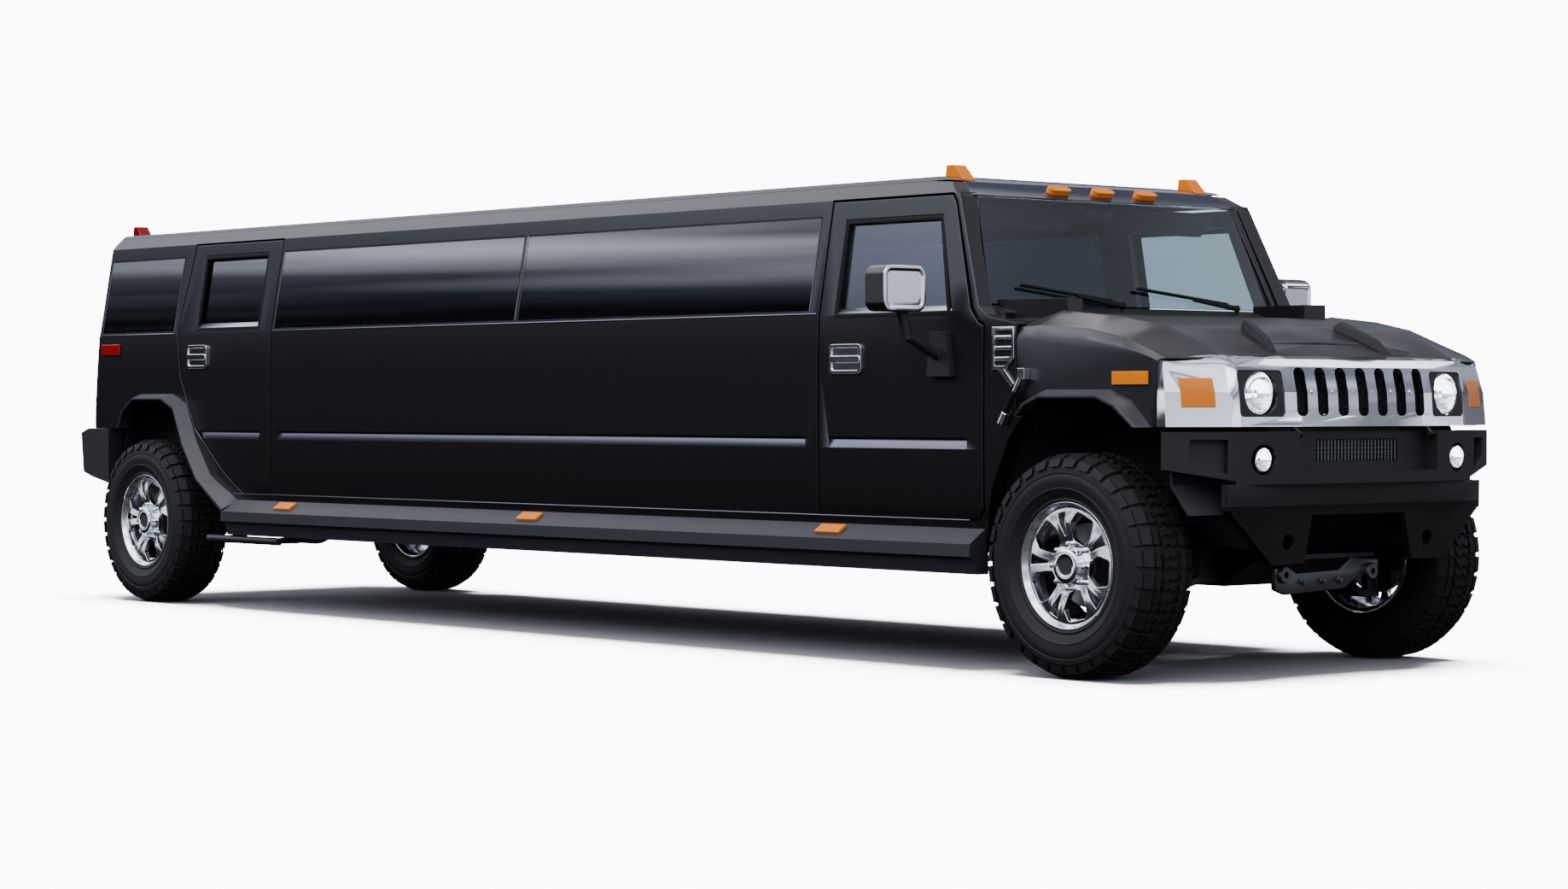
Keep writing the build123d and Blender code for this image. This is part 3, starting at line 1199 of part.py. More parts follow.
def handle(x_mid, z_mid):
    """Door handle: framed plate lying on the door skin, with a grab bar across its recess."""
    outline = rectangle(x_mid - HANDLE_WIDE / 2, x_mid + HANDLE_WIDE / 2, z_mid - HANDLE_HIGH / 2, z_mid + HANDLE_HIGH / 2)
    plate = rounded_side_prism(outline, 22, 945, Y_SIDE + 9)
    plate = plate - rounded_side_prism(inset_outline(outline, HANDLE_RIM), 12, Y_SIDE + 3, Y_SIDE + 20)
    bar = rounded_side_prism(
        rectangle(x_mid - HANDLE_WIDE / 2 + 8, x_mid + HANDLE_WIDE / 2 - 8, z_mid - 15, z_mid + 13), 8, 950, Y_SIDE + 13
    )
    return plate + bar - envelope()


def mirror_left():
    """Mirror head on its bent arm and the bracket on the door skin."""
    bracket = side_prism(from_front(((-800, 1170), (-660, 1170), (-690, 1350), (-780, 1350))), 940, 985) - envelope()
    arm = rod((X_FRONT - 740, 965, 1250), (X_FRONT - 760, 1120, 1330), 22)
    post = rod((X_FRONT - 760, 1120, 1318), (X_FRONT - 768, 1150, 1440), 22)
    outline = [(1062, 1428), (1288, 1436), (1292, 1612), (1070, 1606)]
    head = rounded_front_prism(outline, 34, X_FRONT - 830, X_FRONT - 715)
    head = head.chamfer(20, None, head.faces().sort_by(Axis.X)[-1].edges())
    glass_recess = rounded_front_prism(inset_outline(outline, 12), 24, X_FRONT - 840, X_FRONT - 822)
    return bracket + arm + post + head - glass_recess


def latch_left():
    """Pull latch on the left fender, standing off the cowl side."""
    foot = block(X_FRONT - 275, X_FRONT - 235, 955, 990, 1156, 1200)
    return foot + rod((X_FRONT - 256, 980, 1180), (X_FRONT - 378, 980, 982), 8)


def hood_arm():
    """Left hinge arm of the tilting front, hung under the surround and bored for the bumper's pin."""
    z_top = SURROUND_LEVELS[0][0]
    outline = [
        (X_HOOD_HINGE - 34, z_top), (X_HOOD_HINGE - 34, z_top - 12), (X_HOOD_HINGE - 12, Z_HOOD_HINGE - 12),
        (X_HOOD_HINGE + 6, Z_HOOD_HINGE - 12), (X_HOOD_HINGE + 12, Z_HOOD_HINGE + 4), (X_HOOD_HINGE - 19, z_top),
    ]
    arm = side_prism(outline, Y_HOOD_ARM - 20, Y_HOOD_ARM)
    bore = rod(
        (X_HOOD_HINGE, Y_HOOD_ARM - 40, Z_HOOD_HINGE), (X_HOOD_HINGE, Y_HOOD_ARM + 20, Z_HOOD_HINGE), HOOD_PIN + PIN_GAP
    )
    return arm - bore


def bezel_left():
    """Dark plate filling the headlamp opening, bored for the lamp."""
    y_values = (LAMP_Y - LAMP_OPENING[0] / 2, 500, LAMP_Y + LAMP_OPENING[0] / 2)
    z_values = (LAMP_Z - LAMP_OPENING[1] / 2, SURROUND_LEVELS[1][0], LAMP_Z + LAMP_OPENING[1] / 2)
    plate = face_slab(y_values, z_values, -4, 18) & lamp_opening()
    return plate - Solid.make_cylinder(LAMP_RADIUS, 300, Plane((X_FRONT + 400, LAMP_Y, LAMP_Z), z_dir=(1, 0, 0)))


def headlamp_left():
    """Round headlamp filling the bezel's bore."""
    return Solid.make_cylinder(LAMP_RADIUS, 66, Plane((X_FRONT + 530, LAMP_Y, LAMP_Z), z_dir=(1, 0, 0)))


def fender_marker():
    """Amber side marker on the left fender."""
    return block(X_FRONT + 212, X_FRONT + 398, 955, 966, 1133, 1184)


# ---- write the rest -------------------------------------------------------------------------------
def pair(make):
    """A left-hand piece and its mirror image."""
    left = make()
    return left, mirrored(left)


roof = roof_panel()
save("roof_panel", roof)
save("windscreen", windscreen())
save("cowl", cowl())
save("rear_frame", rear_frame(roof))
save("tailgate", tailgate())
save("tailgate_glass", tailgate_glass())
save("frame_rails", frame_rails())
save("floor_pan", floor_pan())
save("front_liners", *pair(front_liner))
save("engine_and_radiator", engine(), radiator())
save("hood_shell", hood_shell())
save("grille_surround", grille_surround())
save("headlamp_bezels", *pair(bezel_left))
save("headlamps", *pair(headlamp_left))
facet_lens = facet_lamp(3, FACET_DEPTH)
marker = fender_marker()
save("hood_lamps", facet_lens, mirrored(facet_lens), marker, mirrored(marker))
save("hood_fittings", *pair(latch_left), *pair(hood_arm))
save("front_bumper", front_bumper())
save("fog_lamps", *fog_lamps())
save("front_skid", valance())
save("rear_bumper", rear_bumper())
cladding = sill_cladding()
save("sill_cladding_left", cladding)
save("sill_cladding_right", mirrored(cladding))
save("front_suspension", front_suspension())
save("rear_axle", rear_axle())
save("underbody", *exhaust_and_tank(), *side_steps())
save("dashboard", dashboard())
save("seats", *front_seats(), *lounge_bench())
sill_set = sill_lamps()
save("marker_lamps", *roof_lamps(roof), *sill_set, *[mirrored(lamp) for lamp in sill_set])
save("red_lamps", *red_lamps(roof))
save("side_vents", *pair(side_vents))
for place, x, z in (("front", X_FRONT - 1317, 1247), ("rear", X_REAR + 486, 1312)):
    grip = handle(x, z)
    save(f"handle_{place}_left", grip)
    save(f"handle_{place}_right", mirrored(grip))
mirror = mirror_left()
save("mirror_left", mirror)
save("mirror_right", mirrored(mirror))
for word, side in (("left", 1), ("right", -1)):
    save(f"knuckle_{word}", knuckle(side))
    for place, station in (("front", X_FRONT), ("rear", X_REAR)):
        centre = (station, side * Y_WHEEL, Z_AXLE)
        save(f"rim_{place}_{word}", rim(centre, side))
        save(f"tyre_{place}_{word}", tyre(centre, side))
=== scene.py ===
"""Stretch limousine: finishes, the fine pieces that the solids leave out, studio light and camera.

Everything is in metres in the vehicle's own frame: +X forward, +Y to its left, +Z up, ground at Z = 0.
"""

import json
import math

import bpy
from mathutils import Matrix, Vector

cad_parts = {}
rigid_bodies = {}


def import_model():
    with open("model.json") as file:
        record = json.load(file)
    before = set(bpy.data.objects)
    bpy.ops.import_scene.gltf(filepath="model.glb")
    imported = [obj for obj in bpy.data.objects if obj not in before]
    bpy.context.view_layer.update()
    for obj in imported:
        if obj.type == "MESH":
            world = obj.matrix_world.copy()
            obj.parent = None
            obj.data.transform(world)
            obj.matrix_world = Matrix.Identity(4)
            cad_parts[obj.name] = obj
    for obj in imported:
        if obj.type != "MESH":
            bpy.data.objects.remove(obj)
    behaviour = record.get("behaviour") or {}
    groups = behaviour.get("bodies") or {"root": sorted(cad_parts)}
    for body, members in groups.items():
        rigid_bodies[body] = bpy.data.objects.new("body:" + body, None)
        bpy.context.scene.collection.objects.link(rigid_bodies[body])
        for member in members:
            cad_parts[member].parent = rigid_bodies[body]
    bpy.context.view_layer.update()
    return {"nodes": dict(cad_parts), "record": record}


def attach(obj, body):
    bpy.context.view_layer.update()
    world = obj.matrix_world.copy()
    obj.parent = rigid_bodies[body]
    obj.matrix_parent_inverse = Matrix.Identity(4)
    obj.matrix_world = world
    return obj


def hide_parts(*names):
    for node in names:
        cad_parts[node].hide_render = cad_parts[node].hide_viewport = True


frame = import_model()

NODES = frame["nodes"]
MM = 0.001
X_FRONT, X_REAR = 3.503, -3.457        # axle lines
Y_WHEEL, Z_AXLE = 0.870, 0.436
SIDES = (("left", 1), ("right", -1))
WHEELS = (("front", X_FRONT), ("rear", X_REAR))


# ---- materials ------------------------------------------------------------------------------------
def linear(code):
    """sRGB hex value as linear RGBA."""
    values = [int(code[i:i + 2], 16) / 255 for i in (0, 2, 4)]
    return [v / 12.92 if v <= 0.04045 else ((v + 0.055) / 1.055) ** 2.4 for v in values] + [1.0]


def add(tree, kind, settings=None, links=None):
    """A node with its settings; links maps its input names to another node's output socket."""
    node = tree.nodes.new(kind)
    for key, value in (settings or {}).items():
        if isinstance(key, int) or key in node.inputs:
            node.inputs[key].default_value = value
        else:
            setattr(node, key, value)
    for key, source in (links or {}).items():
        tree.links.new(source, node.inputs[key])
    return node


def material(name, colour=None, **settings):
    """A material with one Principled shader; returns it, its tree and the shader."""
    mat = bpy.data.materials.new(name)
    mat.use_nodes = True
    tree = mat.node_tree
    shader = tree.nodes["Principled BSDF"]
    if colour:
        shader.inputs["Base Color"].default_value = linear(colour)
    for key, value in settings.items():
        shader.inputs[key.replace("_", " ")].default_value = value
    return mat, tree, shader


def object_coords(tree):
    """Coordinates in metres on the piece itself."""
    return {"Vector": add(tree, "ShaderNodeTexCoord").outputs["Object"]}


def embossed(tree, shader, height, depth):
    """Bump of a given depth in metres from a height socket."""
    bump = add(tree, "ShaderNodeBump", {"Distance": depth, "Strength": 1.0}, {"Height": height})
    tree.links.new(bump.outputs["Normal"], shader.inputs["Normal"])


def grain(tree, shader, size_mm, depth_mm, rough=None, detail=2.0):
    """Surface texture of a real size: noise bump, with roughness varying between two values."""
    noise = add(tree, "ShaderNodeTexNoise", {"Scale": 1 / (size_mm * MM), "Detail": detail}, object_coords(tree))
    embossed(tree, shader, noise.outputs["Fac"], depth_mm * MM)
    if rough:
        spread = add(
            tree, "ShaderNodeMapRange", {"From Min": 0.3, "From Max": 0.7, "To Min": rough[0], "To Max": rough[1]},
            {"Value": noise.outputs["Fac"]},
        )
        tree.links.new(spread.outputs["Result"], shader.inputs["Roughness"])
    return noise


def tinted(tree, shader, noise, dark, light):
    """Base colour drifting between two sRGB values with the surface texture."""
    mix = add(tree, "ShaderNodeMix", {"data_type": "RGBA"}, {"Factor": noise.outputs["Fac"]})
    mix.inputs["A"].default_value = linear(dark)
    mix.inputs["B"].default_value = linear(light)
    tree.links.new(mix.outputs["Result"], shader.inputs["Base Color"])


def crowned(tree, shader, z_flat, bend):
    """Glass bowed outwards: the surface leans back above one height and forward below it."""
    split = add(tree, "ShaderNodeSeparateXYZ", links=object_coords(tree))
    rise = add(tree, "ShaderNodeMath", {"operation": "SUBTRACT", 1: z_flat}, {0: split.outputs["Z"]})
    height = rise.outputs["Value"]
    square = add(tree, "ShaderNodeMath", {"operation": "MULTIPLY"}, {0: height, 1: height})
    bow = add(tree, "ShaderNodeMath", {"operation": "MULTIPLY", 1: -bend}, {0: square.outputs["Value"]})
    embossed(tree, shader, bow.outputs["Value"], 1.0)


# finish: material name, shader settings, grain (size and depth in mm, roughness range, detail), drifting colours
PLAIN = {
    # sprayed satin enamel: soft broad highlights, faint orange peel
    "enamel": ("satin_black_enamel", {"IOR": 1.5}, (3.0, 0.004, (0.28, 0.33)), ("090909", "0c0c0d")),
    # the same black enamel polished to a deep gloss, on the header over the windscreen; its navy base colour is a
    # painted reflection
    "header": (
        "gloss_header_enamel",
        {"colour": "081028", "Roughness": 0.12, "IOR": 1.5, "Coat_Weight": 0.8, "Coat_Roughness": 0.05},
        (5.0, 0.002), None,
    ),
    # injection-moulded plastic with a fine leather grain
    "plastic": ("moulded_black_plastic", {"IOR": 1.46}, (1.6, 0.05, (0.5, 0.62), 4.0), ("0e0e0f", "141415")),
    # moulded cladding of the flares and sills: a shade greyer, fine pebble grain
    "cladding": ("pebbled_grey_plastic", {"IOR": 1.5}, (1.4, 0.03, (0.36, 0.44), 4.0), ("202024", "2a2a2f")),
    # decorative plate: bright mirror with the slightest waviness
    "chrome": ("decorative_chrome_plate", {"colour": "eceff4", "Metallic": 1.0}, (60.0, 0.004, (0.05, 0.09)), None),
    # polished and lacquered cast wheels
    "alloy": ("polished_cast_alloy", {"colour": "e6e9ee", "Metallic": 1.0}, (30.0, 0.01, (0.13, 0.19)), None),
    # satin anodised metal in a lighter and a darker copy, both painted highlights: the lighter on the ledges under the
    # door windows, the darker on the rubbing strips' floor and the side beads
    "ledge": ("satin_anodised_light_painted_highlight", {"colour": "a6a7ae", "Metallic": 1.0}, (1.0, 0.004, (0.26, 0.34)), None),
    "dim_highlight_metal": ("satin_anodised_dim_painted_highlight", {"colour": "66666e", "Metallic": 1.0}, (1.0, 0.004, (0.26, 0.34)), None),
    # aluminium castings under the nose, grey with dulled highlights
    "cast": ("sand_cast_aluminium", {"colour": "5e6062", "Metallic": 1.0}, (4.0, 0.12, (0.32, 0.5), 4.0), None),
    # brake discs
    "iron": ("turned_grey_iron", {"colour": "5a5a5c", "Metallic": 1.0}, (3.0, 0.05, (0.3, 0.45)), None),
    # body-tinted toughened glass, nearly opaque from outside, blue-black
    "privacy": (
        "privacy_glass", {"colour": "121722", "Roughness": 0.01, "IOR": 1.52, "Transmission_Weight": 1.0}, None, None,
    ),
    # lightly tinted front door glass
    "tinted": (
        "tinted_door_glass", {"colour": "a0a9b4", "Roughness": 0.01, "IOR": 1.52, "Transmission_Weight": 1.0},
        None, None,
    ),
    # laminated windscreen glass, lightly green
    "screen": (
        "laminated_glass", {"colour": "8ea3a9", "Roughness": 0.0, "IOR": 1.52, "Transmission_Weight": 1.0}, None, None,
    ),
    # clear lamp covers
    "clear": (
        "clear_polycarbonate", {"colour": "f2f5f7", "Roughness": 0.02, "IOR": 1.58, "Transmission_Weight": 1.0},
        None, None,
    ),
    "amber": (
        "amber_acrylic", {"colour": "d87404", "Roughness": 0.2, "IOR": 1.49, "Specular_IOR_Level": 0.35}, None, None,
    ),
    "red": ("red_acrylic", {"colour": "7c0a0a", "Roughness": 0.2, "IOR": 1.49, "Specular_IOR_Level": 0.35}, None, None),
    # vulcanised tyre rubber: matt, slightly uneven, greyer where it has weathered
    "rubber": ("vulcanised_rubber", {"IOR": 1.34}, (6.0, 0.08, (0.58, 0.74), 5.0), ("0a0a0a", "141414")),
    # extruded seals: matt black
    "seal": (
        "extruded_seal_rubber", {"colour": "050505", "IOR": 1.5, "Specular_IOR_Level": 0.2},
        (2.0, 0.05, (0.6, 0.7)), None,
    ),
    # chassis black over forged and pressed steel
    "chassis": ("chassis_black_paint", {"IOR": 1.5}, (9.0, 0.2, (0.42, 0.62), 4.0), ("080808", "121212")),
    # needled carpet and liner felt
    "felt": ("needled_felt", {"Sheen_Weight": 0.1}, (2.5, 0.4, (0.9, 1.0), 4.0), ("080808", "121213")),
    # grained cowhide
    "hide": ("grained_cowhide", {"colour": "2a2928", "Roughness": 0.45, "IOR": 1.45}, None, None),
}
PRISM_PITCH, PRISM_DEPTH = 4 * MM, 0.4 * MM      # moulded in the coloured lenses
HIDE_CELL, HIDE_DEPTH = 3 * MM, 0.15 * MM
PANE_BOW = (1.58, 0.40)                          # height where a side pane stands upright, and how fast it bows away


def make_materials():
    """Every finish on the vehicle, by its plain name."""
    made = {}
    for finish, (name, settings, texture, colours) in PLAIN.items():
        made[finish], tree, shader = material(name, **settings)
        noise = grain(tree, shader, *texture) if texture else None
        if colours:
            tinted(tree, shader, noise, *colours)
        if finish == "privacy":
            crowned(tree, shader, *PANE_BOW)
        if finish in ("amber", "red"):
            scale = 1 / PRISM_PITCH / (2 * math.pi)
            wave = add(tree, "ShaderNodeTexWave", {"Scale": scale, "bands_direction": "Y"}, object_coords(tree))
            embossed(tree, shader, wave.outputs["Fac"], PRISM_DEPTH)
        if finish == "hide":
            cells = add(tree, "ShaderNodeTexVoronoi", {"Scale": 1 / HIDE_CELL}, object_coords(tree))
            embossed(tree, shader, cells.outputs["Distance"], HIDE_DEPTH)
    return made


def named(words):
    """The names in a line of them; * stands for left and right."""
    names = []
    for word in words.split():
        names += [word.replace("*", side) for side, _ in SIDES] if "*" in word else [word]
    return names


MATERIALS = make_materials()
FINISH = {              # finish: the nodes that wear it
    "enamel": "body_side_* roof_panel rear_frame cowl door_front_* door_rear_* tailgate hood_shell",
    "plastic": "front_bumper rear_bumper front_skid headlamp_bezels dashboard",
    "cladding": "sill_cladding_*",
    "chrome": "grille_surround side_vents hood_fittings mirror_* handle_front_* handle_rear_* rim_front_* rim_rear_*",
    "privacy": "side_glass door_rear_glass_* tailgate_glass",
    "tinted": "door_front_glass_*",
    "screen": "windscreen",
    "clear": "fog_lamps headlamps",
    "amber": "hood_lamps marker_lamps",
    "red": "red_lamps",
    "rubber": "tyre_front_* tyre_rear_*",
    "chassis": "frame_rails front_suspension rear_axle underbody knuckle_* engine_and_radiator",
    "felt": "floor_pan front_liners",
    "hide": "seats",
}
FINISH_OF = {name: finish for finish, words in FINISH.items() for name in named(words)}
BODY_OF = {name: body for body, names in frame["record"]["behaviour"]["bodies"].items() for name in names}
for name, finish in FINISH_OF.items():
    NODES[name].data.materials.clear()
    NODES[name].data.materials.append(MATERIALS[finish])


# ---- workshop helpers -----------------------------------------------------------------------------
WELD = 0.02 * MM
FLAT_ANGLE = math.radians(0.6)         # CAD facets that turn less are one face
WIDEST_FREE = 3.5                      # a wider rounding gives way where there is no room for it


def take(piece):
    """Makes a piece the only selected and active object."""
    bpy.ops.object.select_all(action="DESELECT")
    piece.select_set(True)
    bpy.context.view_layer.objects.active = piece


def open_edit(piece):
    """Edit mode on one piece, all of it selected."""
    take(piece)
    bpy.ops.object.mode_set(mode="EDIT")
    bpy.ops.mesh.select_all(action="SELECT")


def close_edit(outward=True):
    """Back to object mode, first turning every face outwards."""
    if outward:
        bpy.ops.mesh.select_all(action="SELECT")
        bpy.ops.mesh.normals_make_consistent(inside=False)
    bpy.ops.object.mode_set(mode="OBJECT")


def modify(piece, kind, **settings):
    """Adds a modifier with its settings and applies it."""
    take(piece)
    tool = piece.modifiers.new(kind.lower(), kind)
    for key, value in settings.items():
        setattr(tool, key, value)
    bpy.ops.object.modifier_apply(modifier=tool.name)


def ease(piece, width_mm, segments=2, degrees=None, **settings):
    """Rounds the edges over; with an angle, only those that turn by more."""
    if degrees:
        settings.update(limit_method="ANGLE", angle_limit=math.radians(degrees))
    modify(piece, "BEVEL", width=width_mm * MM, segments=segments, **settings)


def smooth(piece, degrees=35):
    """Smooth shading that keeps edges sharper than the angle."""
    take(piece)
    bpy.ops.object.shade_smooth_by_angle(angle=math.radians(degrees))


def fit(piece, name, finishes, body, *stands_for):
    """Names a finished piece, gives it its finishes and its body, and settles it at the origin."""
    take(piece)
    bpy.ops.object.transform_apply(location=True, rotation=True, scale=True)
    piece.name = piece.data.name = name
    piece.data.materials.clear()
    for finish in finishes.split():
        piece.data.materials.append(MATERIALS[finish])
    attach(piece, body)
    if stands_for:
        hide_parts(*stands_for)
    return piece


def copied(pattern, move=(0, 0, 0), side=1):
    """A copy of a finished shape with a mesh of its own, mirrored for the right-hand side, then moved."""
    copy = pattern.copy()
    copy.data = pattern.data.copy()
    bpy.context.scene.collection.objects.link(copy)
    copy.data.transform(Matrix.Translation(move) @ Matrix.Scale(side, 4, (0, 1, 0)))
    if side < 0:
        open_edit(copy)
        bpy.ops.mesh.flip_normals()
        close_edit(outward=False)
    return copy


def fit_pair(left, name, finishes, body, *stands_for):
    """Fits a left-hand piece and its mirror image; * in a name stands for left or right."""
    pieces = (left, copied(left, side=-1))
    for piece, (word, _) in zip(pieces, SIDES):
        replaced = [node.replace("*", word) for node in stands_for]
        fit(piece, name.replace("*", word), finishes, body.replace("*", word), *replaced)
    return pieces


def rounded_copy(node, width_mm, segments=2, angle=30, flat=True):
    """A CAD piece's copy with its flats joined and its edges rounded over."""
    piece = copied(NODES[node])
    open_edit(piece)
    bpy.ops.mesh.remove_doubles(threshold=WELD)
    bpy.ops.mesh.dissolve_limited(angle_limit=FLAT_ANGLE)
    close_edit(outward=False)
    ease(piece, width_mm, segments, angle, use_clamp_overlap=width_mm > WIDEST_FREE)
    smooth(piece, 40)
    if flat:
        modify(piece, "WEIGHTED_NORMAL", keep_sharp=True)
    return piece


def wire(corners, fill="NOTHING"):
    """A closed line through the given corners, or the flat face inside them."""
    bpy.ops.object.select_all(action="DESELECT")
    bpy.ops.mesh.primitive_circle_add(vertices=len(corners), fill_type=fill, location=(0, 0, 0))
    piece = bpy.context.object
    for vertex, corner in zip(piece.data.vertices, corners):
        vertex.co = corner
    return piece


def plate(corners, travel):
    """A flat outline, given corner by corner, extruded along a vector into a closed slab."""
    piece = wire(corners, "NGON")
    open_edit(piece)
    bpy.ops.mesh.extrude_region_move(TRANSFORM_OT_translate={"value": travel})
    close_edit()
    return piece


def box(x_low, x_high, y_low, y_high, z_low, z_high):
    """A closed slab between two heights."""
    corners = [(x_low, y_low, z_low), (x_high, y_low, z_low), (x_high, y_high, z_low), (x_low, y_high, z_low)]
    return plate(corners, (0, 0, z_high - z_low))


def ring_frame(corners, width, travel):
    """A frame of even width just inside a flat outline, extruded along a vector."""
    count = len(corners)
    centre = sum((Vector(c) for c in corners), Vector()) / count
    normal = Vector(travel).normalized()
    inner = []
    for index in range(count):
        before, here, after = (Vector(corners[(index + k) % count]) for k in (-1, 0, 1))
        first, second = (here - before).normalized(), (after - here).normalized()
        side_a, side_b = normal.cross(first), normal.cross(second)
        if side_a.dot(centre - here) < 0:
            side_a, side_b = -side_a, -side_b
        inner.append(here + (side_a + side_b) * width / (1 + side_a.dot(side_b)))
    piece = wire(corners)
    open_edit(piece)
    bpy.ops.mesh.extrude_region_move(TRANSFORM_OT_translate={"value": (0, 0, 0)})
    close_edit(outward=False)
    for vertex, place in zip(piece.data.vertices[count:], inner):
        vertex.co = place
    open_edit(piece)
    bpy.ops.mesh.extrude_region_move(TRANSFORM_OT_translate={"value": travel})
    close_edit()
    return piece


def turned(profile, centre, axis, steps=48, across=(0, 0, 1)):
    """A closed profile of (radius, distance along the axis) in mm, turned on the lathe about a centre."""
    centre, along, across = Vector(centre), Vector(axis), Vector(across)
    piece = wire([centre + across * radius * MM + along * distance * MM for radius, distance in profile])
    open_edit(piece)
    bpy.ops.mesh.spin(steps=steps, angle=2 * math.pi, center=centre, axis=along)
    bpy.ops.mesh.select_all(action="SELECT")
    bpy.ops.mesh.remove_doubles(threshold=WELD / 2)
    close_edit()
    smooth(piece)
    return piece


def rod(start, end, radius):
    """A round bar between two places, its ends eased."""
    length = (end - start).length / MM
    ease_by = radius * 0.25
    flank = ((radius - ease_by, 0), (radius, ease_by), (radius, length - ease_by), (radius - ease_by, length))
    along = (end - start).normalized()
    return turned(((0, 0), *flank, (0, length)), start, along, 16, along.orthogonal().normalized())


def repeat_round(piece, count, centre):
    """Copies of a finished shape all round the wheel's axis, in one mesh."""
    open_edit(piece)
    bpy.ops.mesh.spin(
        steps=count - 1, dupli=True, angle=2 * math.pi * (count - 1) / count, center=centre, axis=(0, 1, 0),
        use_auto_merge=False,
    )
    close_edit(outward=False)


def joined(pieces):
    """Several shapes as one piece."""
    bpy.ops.object.select_all(action="DESELECT")
    for piece in pieces:
        piece.select_set(True)
    bpy.context.view_layer.objects.active = pieces[0]
    bpy.ops.object.join()
    return pieces[0]


def settled(scale=(1, 1, 1)):
    """The basic shape just added, scaled and settled at the origin."""
    piece = bpy.context.object
    piece.scale = scale
    bpy.ops.object.transform_apply(location=True, rotation=True, scale=True)
    return piece


# ---- body panels ----------------------------------------------------------------------------------
ROUNDED = (             # edge radius in mm, segments, the CAD pieces
    (3.0, 2, "body_side_* rear_frame door_front_* door_rear_* tailgate hood_lamps"), (5.0, 3, "roof_panel"),
    (4.0, 2, "cowl"), (10.0, 4, "hood_shell"), (5.0, 2, "front_bumper"), (6.0, 2, "front_skid rear_bumper"),
    (8.0, 3, "sill_cladding_*"), (4.0, 3, "grille_surround marker_lamps red_lamps"), (2.0, 2, "headlamp_bezels"),
    (1.5, 2, "handle_front_* handle_rear_* side_vents hood_fittings"),
)
SHADED_APRON_LINE = 0.672                     # below this height the apron under the nose wears darker, duller rubber: painted shade
STRIP_LOW, STRIP_TOP = 0.879, 0.916
HEADER_REAR, HEADER_HALF = X_FRONT - 0.850, 0.80
RAIL_REAR, RAIL_FRONT, RAIL_IN, RAIL_OUT, RAIL_FOOT = X_FRONT + 0.262, X_FRONT + 0.480, 0.252, 0.362, 1.26
FLARE_IN, FLARE_TOP = 0.9585, 1.14


def in_strip(face):
    """The sloping floor of the rubbing strip's recess, which wears grey metal as a painted highlight."""
    return STRIP_LOW < face.center.z < STRIP_TOP and 0.15 < face.normal.z < 0.8 and abs(face.normal.x) < 0.3


def in_header(face):
    """The panel over the windscreen, ahead of the roof."""
    return face.center.x > HEADER_REAR and face.normal.x > 0.1 and abs(face.center.y) < HEADER_HALF


def in_rail(face):
    """The two grab rails standing on the hood."""
    x, y, z = face.center
    return RAIL_REAR < x < RAIL_FRONT and RAIL_IN < abs(y) < RAIL_OUT and z > RAIL_FOOT


def in_flare(face):
    """The arch flare, outside the fender's skin."""
    return abs(face.center.y) > FLARE_IN and face.center.z < FLARE_TOP


def in_shaded_apron(face):
    """The apron under the nose, below its band, darkened as painted shade."""
    return face.center.z < SHADED_APRON_LINE


def in_nose_hook(face):
    """The hooks under the grille, which are black."""
    return face.center.x > X_FRONT


SECOND = {              # CAD piece: tests for faces that wear another finish, and which
    # the rubbing strip's floor wears the darker grey metal: a painted highlight along the strip
    **{node: ((in_strip, "dim_highlight_metal"),) for node in named("body_side_* door_front_* door_rear_*")},
    "roof_panel": ((in_header, "header"),), "hood_shell": ((in_rail, "plastic"), (in_flare, "cladding")),
    # the apron under the nose wears the dark, dull seal rubber: painted shade
    "front_skid": ((in_shaded_apron, "seal"),), "hood_fittings": ((in_nose_hook, "seal"),),
}


def make_panels():
    """Every pressed or moulded panel with its edges rounded over."""
    for radius, segments, words in ROUNDED:
        for node in named(words):
            piece = rounded_copy(node, radius, segments, flat=node != "hood_shell")
            others = SECOND.get(node, ())
            finishes = " ".join([FINISH_OF[node], *(other for _, other in others)])
            fit(piece, node + "_finished", finishes, BODY_OF[node], node)
            if node == "front_skid":
                open_edit(piece)
                bpy.ops.mesh.bisect(plane_co=(0, 0, SHADED_APRON_LINE), plane_no=(0, 0, 1))
                close_edit(outward=False)
            for number, (chosen, _) in enumerate(others, 1):
                for face in piece.data.polygons:
                    if chosen(face):
                        face.material_index = number


# ---- wheels ---------------------------------------------------------------------------------------
CARCASS = (             # radius, distance from the tyre's middle plane; outer half, bead to crown
    (238, 108), (249, 112), (249, 124), (256, 130), (264, 127), (270, 131), (280, 136), (296, 144), (300, 147),
    (304, 145), (330, 149), (352, 148), (356, 145), (360, 147), (378, 144), (382, 140), (400, 132), (412, 120),
    (423, 92), (425, 50), (425, 44), (419, 42), (419, 36), (425, 34),
)
TREAD_RADIUS = 436.0
CROWN_HALF, SHOULDER_HALF, SHOULDER_DROP = 92.0, 130.0, 18.0
PITCHES = 32
PITCH = 2 * math.pi * TREAD_RADIUS / PITCHES
BLOCKS = (              # outlines within one pitch of 86 mm: distance round the tread, distance across
    ((3, 92), (34, 88), (37, 96), (40, 88), (76, 92), (74, 131), (5, 131)),
    ((0, 52), (26, 46), (40, 58), (58, 50), (80, 56), (76, 84), (48, 80), (36, 86), (4, 84)),
    ((6, -38), (34, -32), (42, -12), (36, 10), (48, 40), (18, 44), (10, 22), (0, 8), (12, -12)),
    ((50, -44), (76, -38), (84, -14), (72, 6), (82, 34), (60, 42), (48, 14), (56, -8)),
)
BLOCK_ROOT, BLOCK_TAPER = 14.0, 0.93   # how deep a block reaches under the tread, and how much its top narrows
